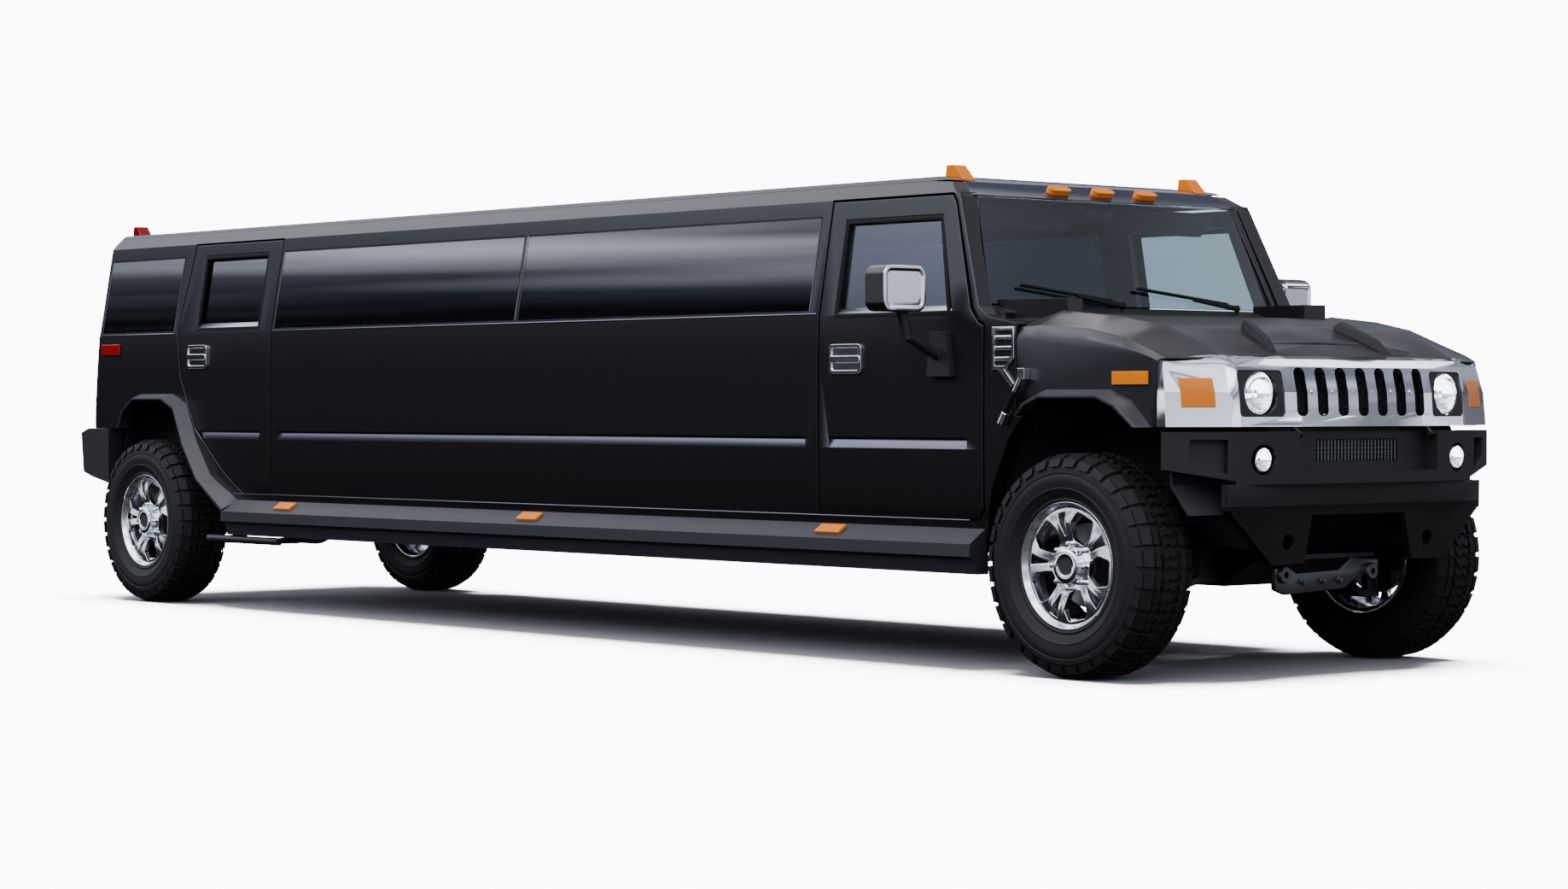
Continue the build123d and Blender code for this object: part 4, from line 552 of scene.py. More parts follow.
SIDE_LUG = ((10, 386, 144), (66, 386, 144), (72, 416, 133), (4, 416, 133))      # distance round, radius, half width
LUG_THICK = 5 * MM
HUB_CAP = ((0, 122), (33, 122), (35, 126), (33, 129), (29, 128), (26, 126), (10, 127.5), (0, 128))
HUB_RING = ((36, 124), (60, 124), (63, 120), (66, 127), (60, 131), (40, 131), (36, 129))
NUTS, NUT_CIRCLE, NUT_FACE = 8, 0.085, 0.106
DISC_RADIUS, DISC_FACE = 0.17, 3 * MM            # the rim casting's parts that are iron: disc and its bell
BELL_RADIUS, BELL_FACE = 0.1, 41 * MM
BOSS_RADIUS, BOSS_FACE = 0.035, 100 * MM         # black boss under the hub cap


def tread_point(around, across, depth):
    """Point of the tread surface: distance round the tyre, distance across it, depth below the tread."""
    drop = max(0.0, abs(across) - CROWN_HALF) * SHOULDER_DROP / (SHOULDER_HALF - CROWN_HALF)
    radius = (TREAD_RADIUS - drop - depth) * MM
    turn = around / TREAD_RADIUS
    return Vector((radius * math.sin(turn), across * MM, radius * math.cos(turn)))


def tread_block(outline):
    """One rubber block standing on the carcass, narrowing to its top."""
    count = len(outline)
    block = plate([tread_point(s, y, BLOCK_ROOT) for s, y in outline], (0, 0, 0.001))
    middle_s, middle_y = (sum(point[k] for point in outline) / count for k in (0, 1))
    for vertex, (s, y) in zip(block.data.vertices[count:], outline):
        s, y = middle_s + (s - middle_s) * BLOCK_TAPER, middle_y + (y - middle_y) * BLOCK_TAPER
        vertex.co = tread_point(s, y, 0.0)
    return block


def make_tyre():
    """Left-hand all-terrain tyre about the origin: moulded carcass, staggered tread blocks and shoulder lugs."""
    carcass = turned([*CARCASS, *((r, -y) for r, y in reversed(CARCASS))], (0, 0, 0), (0, 1, 0), 96)
    pitch = [tread_block(outline) for outline in BLOCKS]
    pitch += [tread_block([(PITCH - s, -y) for s, y in outline]) for outline in BLOCKS[:2]]
    for face in (1, -1):
        corners = []
        for s, radius, half in SIDE_LUG:
            turn = s / TREAD_RADIUS
            corners.append(Vector((radius * math.sin(turn), half * face, radius * math.cos(turn))) * MM)
        pitch.append(plate(corners, (0, face * LUG_THICK, 0)))
    tread = joined(pitch)
    open_edit(tread)
    close_edit()
    repeat_round(tread, PITCHES, (0, 0, 0))
    smooth(tread, 30)
    return joined([carcass, tread])


def make_hub_ring():
    """Left-hand plated ring with its nuts, about the origin."""
    ring = turned(HUB_RING, (0, 0, 0), (0, 1, 0))
    bpy.ops.mesh.primitive_cylinder_add(
        vertices=6, radius=0.011, depth=0.030, location=(0, NUT_FACE, NUT_CIRCLE), rotation=(math.pi / 2, 0, 0)
    )
    nut = settled()
    ease(nut, 2.5)
    smooth(nut)
    repeat_round(nut, NUTS, (0, 0, 0))
    return joined([ring, nut])


def finish_rim(place, word, centre, side):
    """Polished wheel from the CAD casting, with the iron brake disc behind it."""
    node = f"rim_{place}_{word}"
    rim = fit(rounded_copy(node, 2.0, 2, 25), node + "_polished", "alloy iron plastic", f"wheel_{place}_{word}", node)
    for face in rim.data.polygons:
        offset = face.center - Vector(centre)
        radius, outboard = math.hypot(offset.x, offset.z), side * offset.y
        if radius < BOSS_RADIUS and outboard > BOSS_FACE:
            face.material_index = 2
        elif radius < DISC_RADIUS and outboard < DISC_FACE or radius < BELL_RADIUS and outboard < BELL_FACE:
            face.material_index = 1


def make_wheels():
    """Tyre, hub cap and hub ring modelled once, and copied to the four wheels."""
    tyre, ring = make_tyre(), make_hub_ring()
    cap = turned(HUB_CAP, (0, 0, 0), (0, 1, 0), 32)
    for place, station in WHEELS:
        for word, side in SIDES:
            centre = (station, side * Y_WHEEL, Z_AXLE)
            corner = f"{place}_{word}"
            body = f"wheel_{corner}"
            fit(copied(tyre, centre, side), f"tyre_{corner}_treaded", "rubber", body, f"tyre_{corner}")
            finish_rim(place, word, centre, side)
            fit(copied(cap, centre, side), f"hub_cap_{corner}", "plastic", body)
            fit(copied(ring, centre, side), f"hub_ring_{corner}", "chrome", body)
    for pattern in (tyre, cap, ring):
        bpy.data.objects.remove(pattern)


# ---- lamps ----------------------------------------------------------------------------------------
BOWL = (                # radius, distance forward of the lamp's back; bright reflector
    (12, 8), (30, 10), (56, 22), (74, 40), (80, 52), (83, 52), (83, 58), (78, 58), (72, 44), (54, 27), (28, 14),
    (12, 12),
)
LENS = ((0, 63), (40, 62), (70, 59), (82, 54), (82, 58), (70, 63), (40, 65.5), (0, 66))
BULB_SHIELD = ((0, 12), (15, 12), (18, 34), (14, 40), (0, 42))
HEADLAMP_BACK = (X_FRONT + 0.530, 0.553, 1.100)
FOG_LAMP_BACK = (X_FRONT + 0.606, 0.578, 0.849)
FOG_BOWL, FOG_LENS, FOG_DEPTH = 0.54, 0.55, 0.5      # the fog lamps' radii and depth, as shares of the headlamps'


def make_lamps():
    """Round headlamps and fog lamps: plated bowl, bulb shield and a domed clear cover."""
    axis = (1, 0, 0)
    bowl, shield = turned(BOWL, HEADLAMP_BACK, axis), turned(BULB_SHIELD, HEADLAMP_BACK, axis, 24)
    fit_pair(joined([bowl, shield]), "headlamp_bowl_*", "chrome", "hood")
    fit_pair(turned(LENS, HEADLAMP_BACK, axis), "headlamp_cover_*", "clear", "hood", "headlamps")
    bowl = turned([(r * FOG_BOWL, d * FOG_DEPTH) for r, d in BOWL], FOG_LAMP_BACK, axis, 40)
    fit_pair(bowl, "fog_lamp_bowl_*", "chrome", "body")
    cover = turned([(r * FOG_LENS, d * FOG_DEPTH) for r, d in LENS], FOG_LAMP_BACK, axis, 40)
    fit_pair(cover, "fog_lamp_cover_*", "clear", "body", "fog_lamps")


# ---- trim -----------------------------------------------------------------------------------------
X_DOOR1_REAR, X_DOOR2_FRONT = X_FRONT - 1.500, X_REAR + 1.198
PANES = (               # rear end, front end of each flush pane
    (X_DOOR2_FRONT + 0.022, -0.1425), (-0.1305, X_DOOR1_REAR - 0.056), (X_REAR - 0.530, X_REAR + 0.236),
)
PANE_LOW, PANE_TOP = 1.446, 1.846
PANE_HIGHLIGHT_EDGING = (0.0002, 0.005, 0.0012)       # proud of the skin, width, thickness of the panes' bright edging, a painted highlight along the panes' edges
BELT, BELT_HALF, SIDE_LEAN = 1.425, 0.950, 85 / 490
WINDOWS = {             # side view of each door window, x and z, from its rear lower corner
    "front": (
        (X_DOOR1_REAR + 0.100, 1.436), (X_FRONT - 0.690, 1.436),
        (X_FRONT - 0.812, 1.828), (X_DOOR1_REAR + 0.100, 1.828),
    ),
    "rear": (
        (X_REAR + 0.455, 1.466), (X_DOOR2_FRONT - 0.115, 1.466),
        (X_DOOR2_FRONT - 0.125, 1.848), (X_REAR + 0.445, 1.848),
    ),
}
SEAL_IN, SEAL_WIDE, SEAL_THICK = 0.021, 0.020, 0.0203      # how far inside the skin it starts; its section
LEDGE_DEEP, LEDGE_RISE, LEDGE_SKIN = 0.021, 0.022, 0.0005
HIGHLIGHT_BEADS = (               # rear end, front end, height, half width, radius of the thin bright lines along the side: grey metal beads that are painted highlights
    (X_REAR - 0.528, X_REAR + 0.236, 1.437, 0.9475, 0.005),
    (X_DOOR2_FRONT + 0.012, X_DOOR1_REAR - 0.012, 1.437, 0.9475, 0.005),
    (X_REAR + 0.820, X_FRONT - 0.590, 0.597, 0.9400, 0.004),
)


def skin_y(z):
    """Half width of the leaning body side above the belt line."""
    return BELT_HALF - (z - BELT) * SIDE_LEAN


def on_skin(outline, proud):
    """Side-view outline (x, z) laid on the leaning left side, standing proud by an amount."""
    return [(x, skin_y(z) + proud, z) for x, z in outline]


def make_window_trim():
    """Thin bright edging round the flush panes, a painted highlight along their edges; rubber round the door windows,
    with a bright metal ledge at their foot, a painted highlight where it faces the sky.
    """
    proud, width, thick = PANE_HIGHLIGHT_EDGING
    edging = []
    for x_low, x_high in PANES:
        outline = [(x_low, PANE_LOW), (x_high, PANE_LOW), (x_high, PANE_TOP), (x_low, PANE_TOP)]
        edging.append(ring_frame(on_skin(outline, proud), width, (0, thick, 0)))
    # grey metal edging: painted highlight along the panes' edges
    fit_pair(joined(edging), "pane_edging_*", "cast", "body")
    for place, outline in WINDOWS.items():
        body = place + "_door_*"
        buried = [(x, z - SEAL_IN) for x, z in outline[:2]] + [*outline[2:]]
        seal = ring_frame(on_skin(buried, -SEAL_IN), SEAL_WIDE, (0, SEAL_THICK, 0))
        ease(seal, 3, degrees=40)
        smooth(seal)
        fit_pair(seal, f"window_seal_{place}_*", "seal", body)
        (x_low, z_low), (x_high, _) = outline[:2]
        foot, root, back = skin_y(z_low) - LEDGE_SKIN, z_low - 0.001, skin_y(z_low) - LEDGE_SKIN - LEDGE_DEEP
        slope = [(x_low, foot, root), (x_low, back, z_low + LEDGE_RISE), (x_low, back, root)]
        ledge = plate(slope, (x_high - x_low, 0, 0))
        ease(ledge, 2)
        smooth(ledge)
        # light anodised metal on the ledge: painted highlight where it faces the sky
        fit_pair(ledge, f"window_ledge_{place}_*", "ledge", body)


def make_highlight_beads():
    """Rounded grey metal beads along the belt and along the flange under the doors: painted highlight lines."""
    made = []
    for x_low, x_high, z, half_width, thick in HIGHLIGHT_BEADS:
        bpy.ops.mesh.primitive_cylinder_add(
            vertices=12, radius=thick, depth=x_high - x_low, location=((x_low + x_high) / 2, half_width, z),
            rotation=(0, math.pi / 2, 0),
        )
        bead = settled()
        ease(bead, 2, degrees=40)
        smooth(bead)
        made.append(bead)
    fit_pair(joined(made), "side_beads_*", "dim_highlight_metal", "body")


SCREEN_FOOT, SCREEN_TOP = Vector((X_FRONT - 0.578, 0, 1.463)), Vector((X_FRONT - 0.743, 0, 1.903))
WIPERS = (("right", -0.10, -0.66), ("left", 0.60, 0.02))         # pivot and blade tip across the screen
PIVOT_LIFT, TIP_LIFT, WIPER_PROUD = -0.004, 0.075, 0.016         # up the screen, and off it
ARM_ROOT_HALF, ARM_TIP_HALF, ARM_SHARE, ARM_THICK = 0.011, 0.005, 0.45, 0.012
BLADE_START, BLADE_LIFT, BLADE_THICK = 0.05, 0.012, 0.010
HUB = ((0, -8), (14, -8), (16, 4), (12, 12), (0, 14))


def make_wipers():
    """Two wipers parked along the foot of the windscreen, with their arms, blades and rubbers."""
    slope = (SCREEN_TOP - SCREEN_FOOT).normalized()
    normal = Vector((slope.z, 0, -slope.x))
    for word, pivot_y, tip_y in WIPERS:
        base = SCREEN_FOOT + Vector((0, pivot_y, 0)) + normal * WIPER_PROUD + slope * PIVOT_LIFT
        tip = SCREEN_FOOT + Vector((0, tip_y, 0)) + normal * WIPER_PROUD + slope * TIP_LIFT
        along = (tip - base).normalized()
        across = normal.cross(along)
        knee = tip * ARM_SHARE + base * (1 - ARM_SHARE)
        parts = [plate(
            [base + across * ARM_ROOT_HALF, base - across * ARM_ROOT_HALF, knee - across * ARM_TIP_HALF,
             knee + across * ARM_TIP_HALF],
            normal * ARM_THICK,
        )]
        start = base + along * BLADE_START + slope * BLADE_LIFT
        for low, high, deep in ((-0.004, 0.006, BLADE_THICK), (-0.001, 0.002, -BLADE_THICK)):      # blade, rubber
            corners = [start + slope * low, tip + slope * low, tip + slope * high, start + slope * high]
            parts.append(plate(corners, normal * deep))
        parts.append(turned(HUB, base, normal, 24))
        wiper = joined(parts)
        ease(wiper, 1.2, 1, 40)
        fit(wiper, f"wiper_{word}", "seal", "body")


SLOT_PITCH, SLOT_MIDDLE = 0.117, 1.107
GRILLE_BACK, GRILLE_HIGH, GRILLE_WIDE = X_FRONT + 0.575, 0.21, 0.80
BOLT = ((0, 0), (11, 0), (11, 5), (9, 7), (7, 5), (6, 9), (0, 10))
BOLT_SEAT = X_FRONT + 0.626
MESH_X, MESH_HALF, MESH_LOW, MESH_TOP = X_FRONT + 0.594, 0.244, 0.840, 0.923
MESH_ROWS, ROW_PITCH, MESH_COLUMNS, COLUMN_PITCH = 7, 0.0130, 25, 0.0200


def make_grille():
    """Black mesh behind the slots, bolts between them, and the bumper's fine mesh."""
    bpy.ops.mesh.primitive_plane_add(size=1, location=(GRILLE_BACK, 0, SLOT_MIDDLE), rotation=(0, math.pi / 2, 0))
    back = settled((GRILLE_HIGH, GRILLE_WIDE, 1))
    open_edit(back)
    bpy.ops.mesh.subdivide(number_cuts=24)
    close_edit(outward=False)
    modify(back, "WIREFRAME", thickness=0.004)
    fit(back, "grille_mesh", "plastic", "hood")
    bolt = turned(BOLT, (BOLT_SEAT, 0, SLOT_MIDDLE), (1, 0, 0), 20)
    bolts = [copied(bolt, (0, (index - 2.5) * SLOT_PITCH, 0)) for index in range(6)]
    bpy.data.objects.remove(bolt)
    fit(joined(bolts), "grille_bolts", "chrome", "hood")
    x, half = MESH_X, MESH_HALF
    row = plate(
        [(x, -half, 0.842), (x, half, 0.842), (x + 0.0025, half, 0.8434), (x + 0.0025, -half, 0.8434)],
        (0.0006, 0, 0.0012),
    )
    column = plate(
        [(x + 0.001, -0.240, MESH_LOW), (x + 0.001, -0.240, MESH_TOP), (x + 0.003, -0.2378, MESH_TOP),
         (x + 0.003, -0.2378, MESH_LOW)],
        (0.0008, 0.0012, 0),
    )
    bars = [copied(row, (0, 0, index * ROW_PITCH)) for index in range(MESH_ROWS)]
    bars += [copied(column, (0, index * COLUMN_PITCH, 0)) for index in range(MESH_COLUMNS)]
    for pattern in (row, column):
        bpy.data.objects.remove(pattern)
    fit(joined(bars), "intake_mesh", "cast", "body")


MIRROR_CENTRE, MIRROR_SIZE = Vector((X_FRONT - 0.7725, 1.176, 1.520)), (0.115, 0.227, 0.184)
MIRROR_ARM_TOP = 1.440                 # the CAD mirror is kept below this height
MIRROR_CORNER, MIRROR_RIM, MIRROR_STEP, MIRROR_DISH = 0.042, 0.016, 0.005, 0.006
MIRROR_BRIGHT = X_FRONT - 0.7225       # the shell is plated ahead of this station
MIRROR_GLASS = (        # y, z of its outline
    (1.095, 1.452), (1.259, 1.452), (1.272, 1.470), (1.272, 1.570), (1.259, 1.588), (1.095, 1.588), (1.082, 1.570),
    (1.082, 1.470),
)


def choose(piece, part, chosen):
    """Selects the edges or the faces that pass a test, and opens the piece for editing."""
    open_edit(piece)
    bpy.ops.mesh.select_mode(type=part)
    bpy.ops.mesh.select_all(action="DESELECT")
    close_edit(outward=False)
    for item in piece.data.edges if part == "EDGE" else piece.data.polygons:
        item.select = chosen(item)
    bpy.ops.object.mode_set(mode="EDIT")


def mirror_shell(all_round):
    """Left-hand mirror shell, its edges rounded all round or only fore and aft, with a raised rim at the front."""
    bpy.ops.mesh.primitive_cube_add(size=1, location=MIRROR_CENTRE)
    shell = settled(MIRROR_SIZE)

    def rounded(edge):
        first, second = (shell.data.vertices[v].co for v in edge.vertices)
        return all_round or abs((second - first).normalized().x) > 0.9

    choose(shell, "EDGE", rounded)
    bpy.ops.mesh.bevel(offset=MIRROR_CORNER, segments=6, affect="EDGES")
    close_edit(outward=False)
    choose(shell, "FACE", lambda face: face.normal.x > 0.9)
    bpy.ops.mesh.inset(thickness=MIRROR_RIM)
    bpy.ops.mesh.inset(thickness=MIRROR_STEP, depth=-MIRROR_DISH)
    close_edit(outward=False)
    ease(shell, 6, 3, 35)
    smooth(shell, 40)
    return shell


def make_mirrors():
    """Door mirrors: black rounded shell with a raised plated rim, black arm and bracket, silvered glass behind."""
    for word, side in SIDES:
        arm = rounded_copy(f"mirror_{word}", 2.0)
        open_edit(arm)
        bpy.ops.mesh.bisect(
            plane_co=(0, 0, MIRROR_ARM_TOP), plane_no=(0, 0, 1), clear_outer=True, use_fill=True, threshold=WELD / 2
        )
        close_edit()
        smooth(arm)
        fit(arm, f"mirror_arm_{word}", "plastic", f"front_door_{word}", f"mirror_{word}")
        pattern = mirror_shell(all_round=word == "left")
        shell = fit(copied(pattern, side=side), f"mirror_shell_{word}", "chrome enamel", f"front_door_{word}")
        bpy.data.objects.remove(pattern)
        modify(shell, "WEIGHTED_NORMAL", keep_sharp=True)
        for face in shell.data.polygons:
            face.material_index = int(face.center.x < MIRROR_BRIGHT)
    glass = plate([(X_FRONT - 0.8292, y, z) for y, z in MIRROR_GLASS], (-0.0008, 0, 0))
    fit_pair(glass, "mirror_glass_*", "chrome", "front_door_*")


# ---- hood latches, tow bracket --------------------------------------------------------------------
LATCH_TOP, LATCH_FOOT = Vector((X_FRONT - 0.256, 0.980, 1.180)), Vector((X_FRONT - 0.378, 0.980, 0.982))
LATCH_EYE = ((9, -7), (18, -7), (20, -4), (20, 4), (18, 7), (9, 7))
TOW_X = X_FRONT + 0.400
TOW_BEAM = (            # y, z
    (-0.270, 0.335), (-0.210, 0.315), (0.140, 0.330), (0.210, 0.372), (0.340, 0.380), (0.345, 0.440), (0.180, 0.452),
    (0.100, 0.405), (-0.150, 0.398), (-0.200, 0.425), (-0.275, 0.420),
)
TOW_BEAM_THICK = 0.030
TOW_LUG = ((13, 0), (30, 0), (34, 5), (34, 24), (30, 30), (13, 30))
TOW_BOLT = ((0, 0), (15, 0), (15, 6), (11, 8), (11, 16), (9, 18), (0, 18))


def make_latches():
    """Plated hood latch levers with black rubber grips."""
    top, foot = LATCH_TOP, LATCH_FOOT
    along, across = (foot - top).normalized(), Vector((0, 1, 0))
    eye = turned(LATCH_EYE, top, across, 24, across.orthogonal().normalized())
    blade = rod(top + along * 0.010, top + along * 0.085, 10)
    toe = rod(foot - along * 0.055, foot, 15)
    fit_pair(joined([eye, blade, toe]), "hood_latch_*", "chrome", "hood")
    fit_pair(rod(top + along * 0.080, foot - along * 0.050, 13), "hood_latch_grip_*", "seal", "hood")


def make_tow_bracket():
    """Cast bracket with its two lugs, bolted across under the nose."""
    beam = plate([(TOW_X, y, z) for y, z in TOW_BEAM], (TOW_BEAM_THICK, 0, 0))
    ease(beam, 6)
    smooth(beam)
    along = Vector((1, 0, 0))
    parts = [beam]
    for profile, seat, z, steps, places in (
        (TOW_LUG, 0.022, 0.395, 28, (-0.235, 0.285)), (TOW_BOLT, 0.028, 0.365, 6, (-0.12, 0.0, 0.10)),
    ):
        pattern = turned(profile, (TOW_X + seat, 0, z), along, steps, along.orthogonal().normalized())
        parts += [copied(pattern, (0, y, 0)) for y in places]
        bpy.data.objects.remove(pattern)
    fit(joined(parts), "tow_bracket", "cast", "body")


# ---- cabin ----------------------------------------------------------------------------------------
SLACK = 0.030                          # the cut box is this much smaller than the stuffed cushion
CLOTH_PRESSURE, CLOTH_FRAMES, MOST_SWELL = 4.0, 20, 0.024
SEAT_BASE, SEAT_PAD = 0.680, 0.170
FRONT_SEAT_TOP, BENCH_TOP = 0.985, 1.060
CUSHIONS = (            # size of the stuffed pad, then name and centre of each place it is used
    ((0.520, 0.520, SEAT_PAD), (
        ("front_seat_left", (X_FRONT - 1.300, 0.430, FRONT_SEAT_TOP - SEAT_PAD / 2)),
        ("front_seat_right", (X_FRONT - 1.300, -0.430, FRONT_SEAT_TOP - SEAT_PAD / 2)),
    )),
    ((0.139, 0.520, 0.620), (
        ("front_backrest_left", (X_FRONT - 1.6305, 0.430, 1.250)),
        ("front_backrest_right", (X_FRONT - 1.6305, -0.430, 1.250)),
    )),
    ((0.500, 0.640, SEAT_PAD), (
        ("rear_seat_left", (X_REAR + 0.050, 0.320, BENCH_TOP - SEAT_PAD / 2)),
        ("rear_seat_right", (X_REAR + 0.050, -0.320, BENCH_TOP - SEAT_PAD / 2)),
    )),
    ((0.149, 0.640, 0.470), (
        ("rear_backrest_left", (X_REAR - 0.2755, 0.320, 1.265)),
        ("rear_backrest_right", (X_REAR - 0.2755, -0.320, 1.265)),
    )),
)
BENCH_REAR, BENCH_FRONT, BENCH_PLACES = X_DOOR2_FRONT + 0.100, X_FRONT - 1.950, 5
BENCH_MIDDLE, BENCH_DEEP = 0.630, 0.460
PLINTHS = (             # the upholstered boxes under the cushions: x, x, y, y, top
    (X_FRONT - 1.555, X_FRONT - 1.045, 0.175, 0.685, FRONT_SEAT_TOP - SEAT_PAD),
    (X_FRONT - 1.555, X_FRONT - 1.045, -0.685, -0.175, FRONT_SEAT_TOP - SEAT_PAD),
    (X_FRONT - 1.695, X_FRONT - 1.566, 0.175, 0.685, 0.940), (X_FRONT - 1.695, X_FRONT - 1.566, -0.685, -0.175, 0.940),
    (X_REAR - 0.195, X_REAR + 0.295, -0.635, 0.635, BENCH_TOP - SEAT_PAD),
    (X_REAR - 0.345, X_REAR - 0.206, -0.635, 0.635, 1.030),
    (BENCH_REAR + 0.005, BENCH_FRONT - 0.005, 0.405, 0.855, BENCH_TOP - SEAT_PAD),
)


def stuffed(size):
    """A cushion of one size about the origin: cloth blown up over a box, kept within the size."""
    bpy.ops.mesh.primitive_cube_add(size=1, location=(0, 0, 0))
    pad = settled([length - SLACK for length in size])
    ease(pad, 22, 3)
    modify(pad, "REMESH", mode="VOXEL", voxel_size=0.014)
    start = [vertex.co.copy() for vertex in pad.data.vertices]
    cloth = pad.modifiers.new("cloth", "CLOTH")
    cloth.settings.use_pressure = True
    cloth.settings.uniform_pressure_force = CLOTH_PRESSURE
    cloth.settings.effector_weights.gravity = 0.0
    for number in range(1, CLOTH_FRAMES + 1):
        bpy.context.scene.frame_set(number)
    bpy.ops.object.modifier_apply(modifier=cloth.name)
    bpy.context.scene.frame_set(1)
    halves = [length / 2 - 0.001 for length in size]
    for vertex, before in zip(pad.data.vertices, start):
        step = vertex.co - before
        if step.length > MOST_SWELL:
            vertex.co = before + step.normalized() * MOST_SWELL
        vertex.co = [max(-half, min(half, place)) for half, place in zip(halves, vertex.co)]
    smooth(pad, 60)
    return pad


def make_cushions(size, places):
    """One stuffed pattern, copied to each of its places on the body."""
    pad = stuffed(size)
    for name, centre in places:
        fit(copied(pad, centre), name, "hide", "body")
    bpy.data.objects.remove(pad)


def make_seats():
    """Stuffed hide cushions on boxed plinths: two front seats, a cross bench and a long side bench."""
    for size, places in CUSHIONS:
        make_cushions(size, places)
    length = (BENCH_FRONT - BENCH_REAR) / BENCH_PLACES
    places = []
    for index in range(BENCH_PLACES):
        centre = (BENCH_REAR + (index + 0.5) * length, BENCH_MIDDLE, BENCH_TOP - SEAT_PAD / 2)
        places.append((f"side_bench_{index + 1}", centre))
    make_cushions((length, BENCH_DEEP, SEAT_PAD), places)
    boxes = []
    for *sides, top in PLINTHS:
        plinth = box(*sides, SEAT_BASE, top)
        ease(plinth, 18, 3)
        smooth(plinth)
        boxes.append(plinth)
    fit(joined(boxes), "seat_plinths", "hide", "body", "seats")


HEADLINER_LOW, HEADLINER_HALF, HEADLINER_THICK = 1.878, 0.800, 0.012
VISOR_WIDE, VISOR_AHEAD, VISOR_BACK = 0.62, (X_FRONT - 0.775, 1.868), (X_FRONT - 0.880, 1.785)


def make_headliner():
    """Moulded headliner under the roof with two sun visors over the windscreen."""
    parts = [box(
        X_REAR - 0.400, X_FRONT - 0.860, -HEADLINER_HALF, HEADLINER_HALF, HEADLINER_LOW, HEADLINER_LOW + HEADLINER_THICK
    )]
    (x_ahead, z_ahead), (x_back, z_back) = VISOR_AHEAD, VISOR_BACK
    for y in (-0.72, 0.10):
        far = y + VISOR_WIDE
        corners = [(x_ahead, y, z_ahead), (x_ahead, far, z_ahead), (x_back, far, z_back), (x_back, y, z_back)]
        parts.append(plate(corners, (-0.010, 0, 0.012)))
    piece = joined(parts)
    ease(piece, 4)
    smooth(piece)
    fit(piece, "headliner", "felt", "body")


make_panels()
make_wheels()
make_lamps()
make_window_trim()
make_wipers()
make_grille()
make_mirrors()
make_highlight_beads()
make_latches()
make_tow_bracket()
make_seats()
make_headliner()


# ---- floor, light, camera -------------------------------------------------------------------------
LOW_SKY = (             # sine of the elevation, brightness, blueness
    (-1.0, 0.04, 1.0), (-0.12, 0.06, 1.0), (-0.01, 0.22, 1.05), (0.08, 0.50, 1.10), (0.24, 0.38, 1.16),
    (0.42, 0.04, 1.2), (1.0, 0.0, 1.2),
)
HIGH_SKY = (
    (-1.0, 0.0, 1.0), (0.13, 0.0, 1.2), (0.23, 0.22, 1.3), (0.31, 1.5, 1.16), (0.48, 3.6, 1.10), (0.75, 2.4, 1.06),
    (1.0, 0.5, 1.1),
)
AHEAD = ((1.0, 0.0, 0.0), -0.6, 1.0, 0.14, 2.4)         # bearing, its range, brightness at its two ends
BESIDE = ((0.0, -1.0, 0.0), -0.55, 0.55, 0.17, 1.2)
SOFTBOXES = (           # name, W/m2, angular width, tilt about X, tilt about Y
    ("floor_softbox", 122.0, 34.0, -2.0, 0.0), ("overhead_softbox", 1.5, 50.0, 15.0, 0.0),
    ("crest_softbox", 0.5, 34.0, -20.5, -54.2),
)
WHITE_FLOOR = "white_studio_floor"
PLATED = ("decorative_chrome_plate", "polished_cast_alloy")
CARDS = (               # white cards seen in the bright metal: name, place, aimed at, width and height, radiance
    ("nose_card", (5.5, 7.0, 6.5), (4.0, 0.0, 1.1), (7.0, 3.6), 2.2),
    ("side_card_low", (-5.0, -7.5, 0.45), (0.0, -1.0, 0.45), (11.0, 0.9), 1.8),
    ("side_card_high", (-5.0, -7.5, 2.0), (0.0, -1.0, 1.3), (11.0, 0.5), 2.0),
)
CARD_COLOUR = (0.93, 0.96, 1.0)
CLOUD_STRETCH, CLOUD_SIZE, CLOUD_DETAIL = 2.4, 2.7, 2.5
CLOUD_RANGE = {"From Min": 0.38, "From Max": 0.64, "To Min": 0.3, "To Max": 1.9}
WHITE_THROUGH, WHITE_SEEN = 3.0, 8.0   # backdrop's brightness through glass, and what it gains seen directly
FLOOR_SIZE, FLOOR_GAP = 400, 0.001
AZIMUTH, DOWN = 49.4, 0.64             # the camera's bearing, and how far it looks down, in degrees
EYE = (X_FRONT + 9.314, -10.406, 1.052)
SENSOR, FOCAL_PIXELS, FRAME_PIXELS, FAR_CLIP = 36.0, 4021, 1837, 500.0


def make_floor():
    """Plain white studio floor."""
    bpy.ops.mesh.primitive_plane_add(size=FLOOR_SIZE, location=(0, 0, -FLOOR_GAP))
    floor = bpy.context.object
    floor.name = "studio_floor"
    mat, _, _ = material(WHITE_FLOOR, "909090", Roughness=1.0, Specular_IOR_Level=0.0)
    floor.data.materials.append(mat)
    floor.visible_glossy = False       # hidden from glossy and diffuse rays, so the floor stays out of the vehicle's paint
    floor.visible_diffuse = False


def sky_band(tree, height, steps):
    """A vertical gradient of the sky; each step is sine of the elevation, brightness, blueness."""
    ramp = add(tree, "ShaderNodeValToRGB", links={"Fac": height.outputs["Result"]})
    elements = ramp.color_ramp.elements
    while len(elements) < len(steps):
        elements.new(0.5)
    for element, (sine, bright, blue) in zip(elements, steps):
        element.position = (sine + 1) / 2
        element.color = (bright / blue, bright / blue ** 0.5, bright * blue, 1.0)
    return ramp


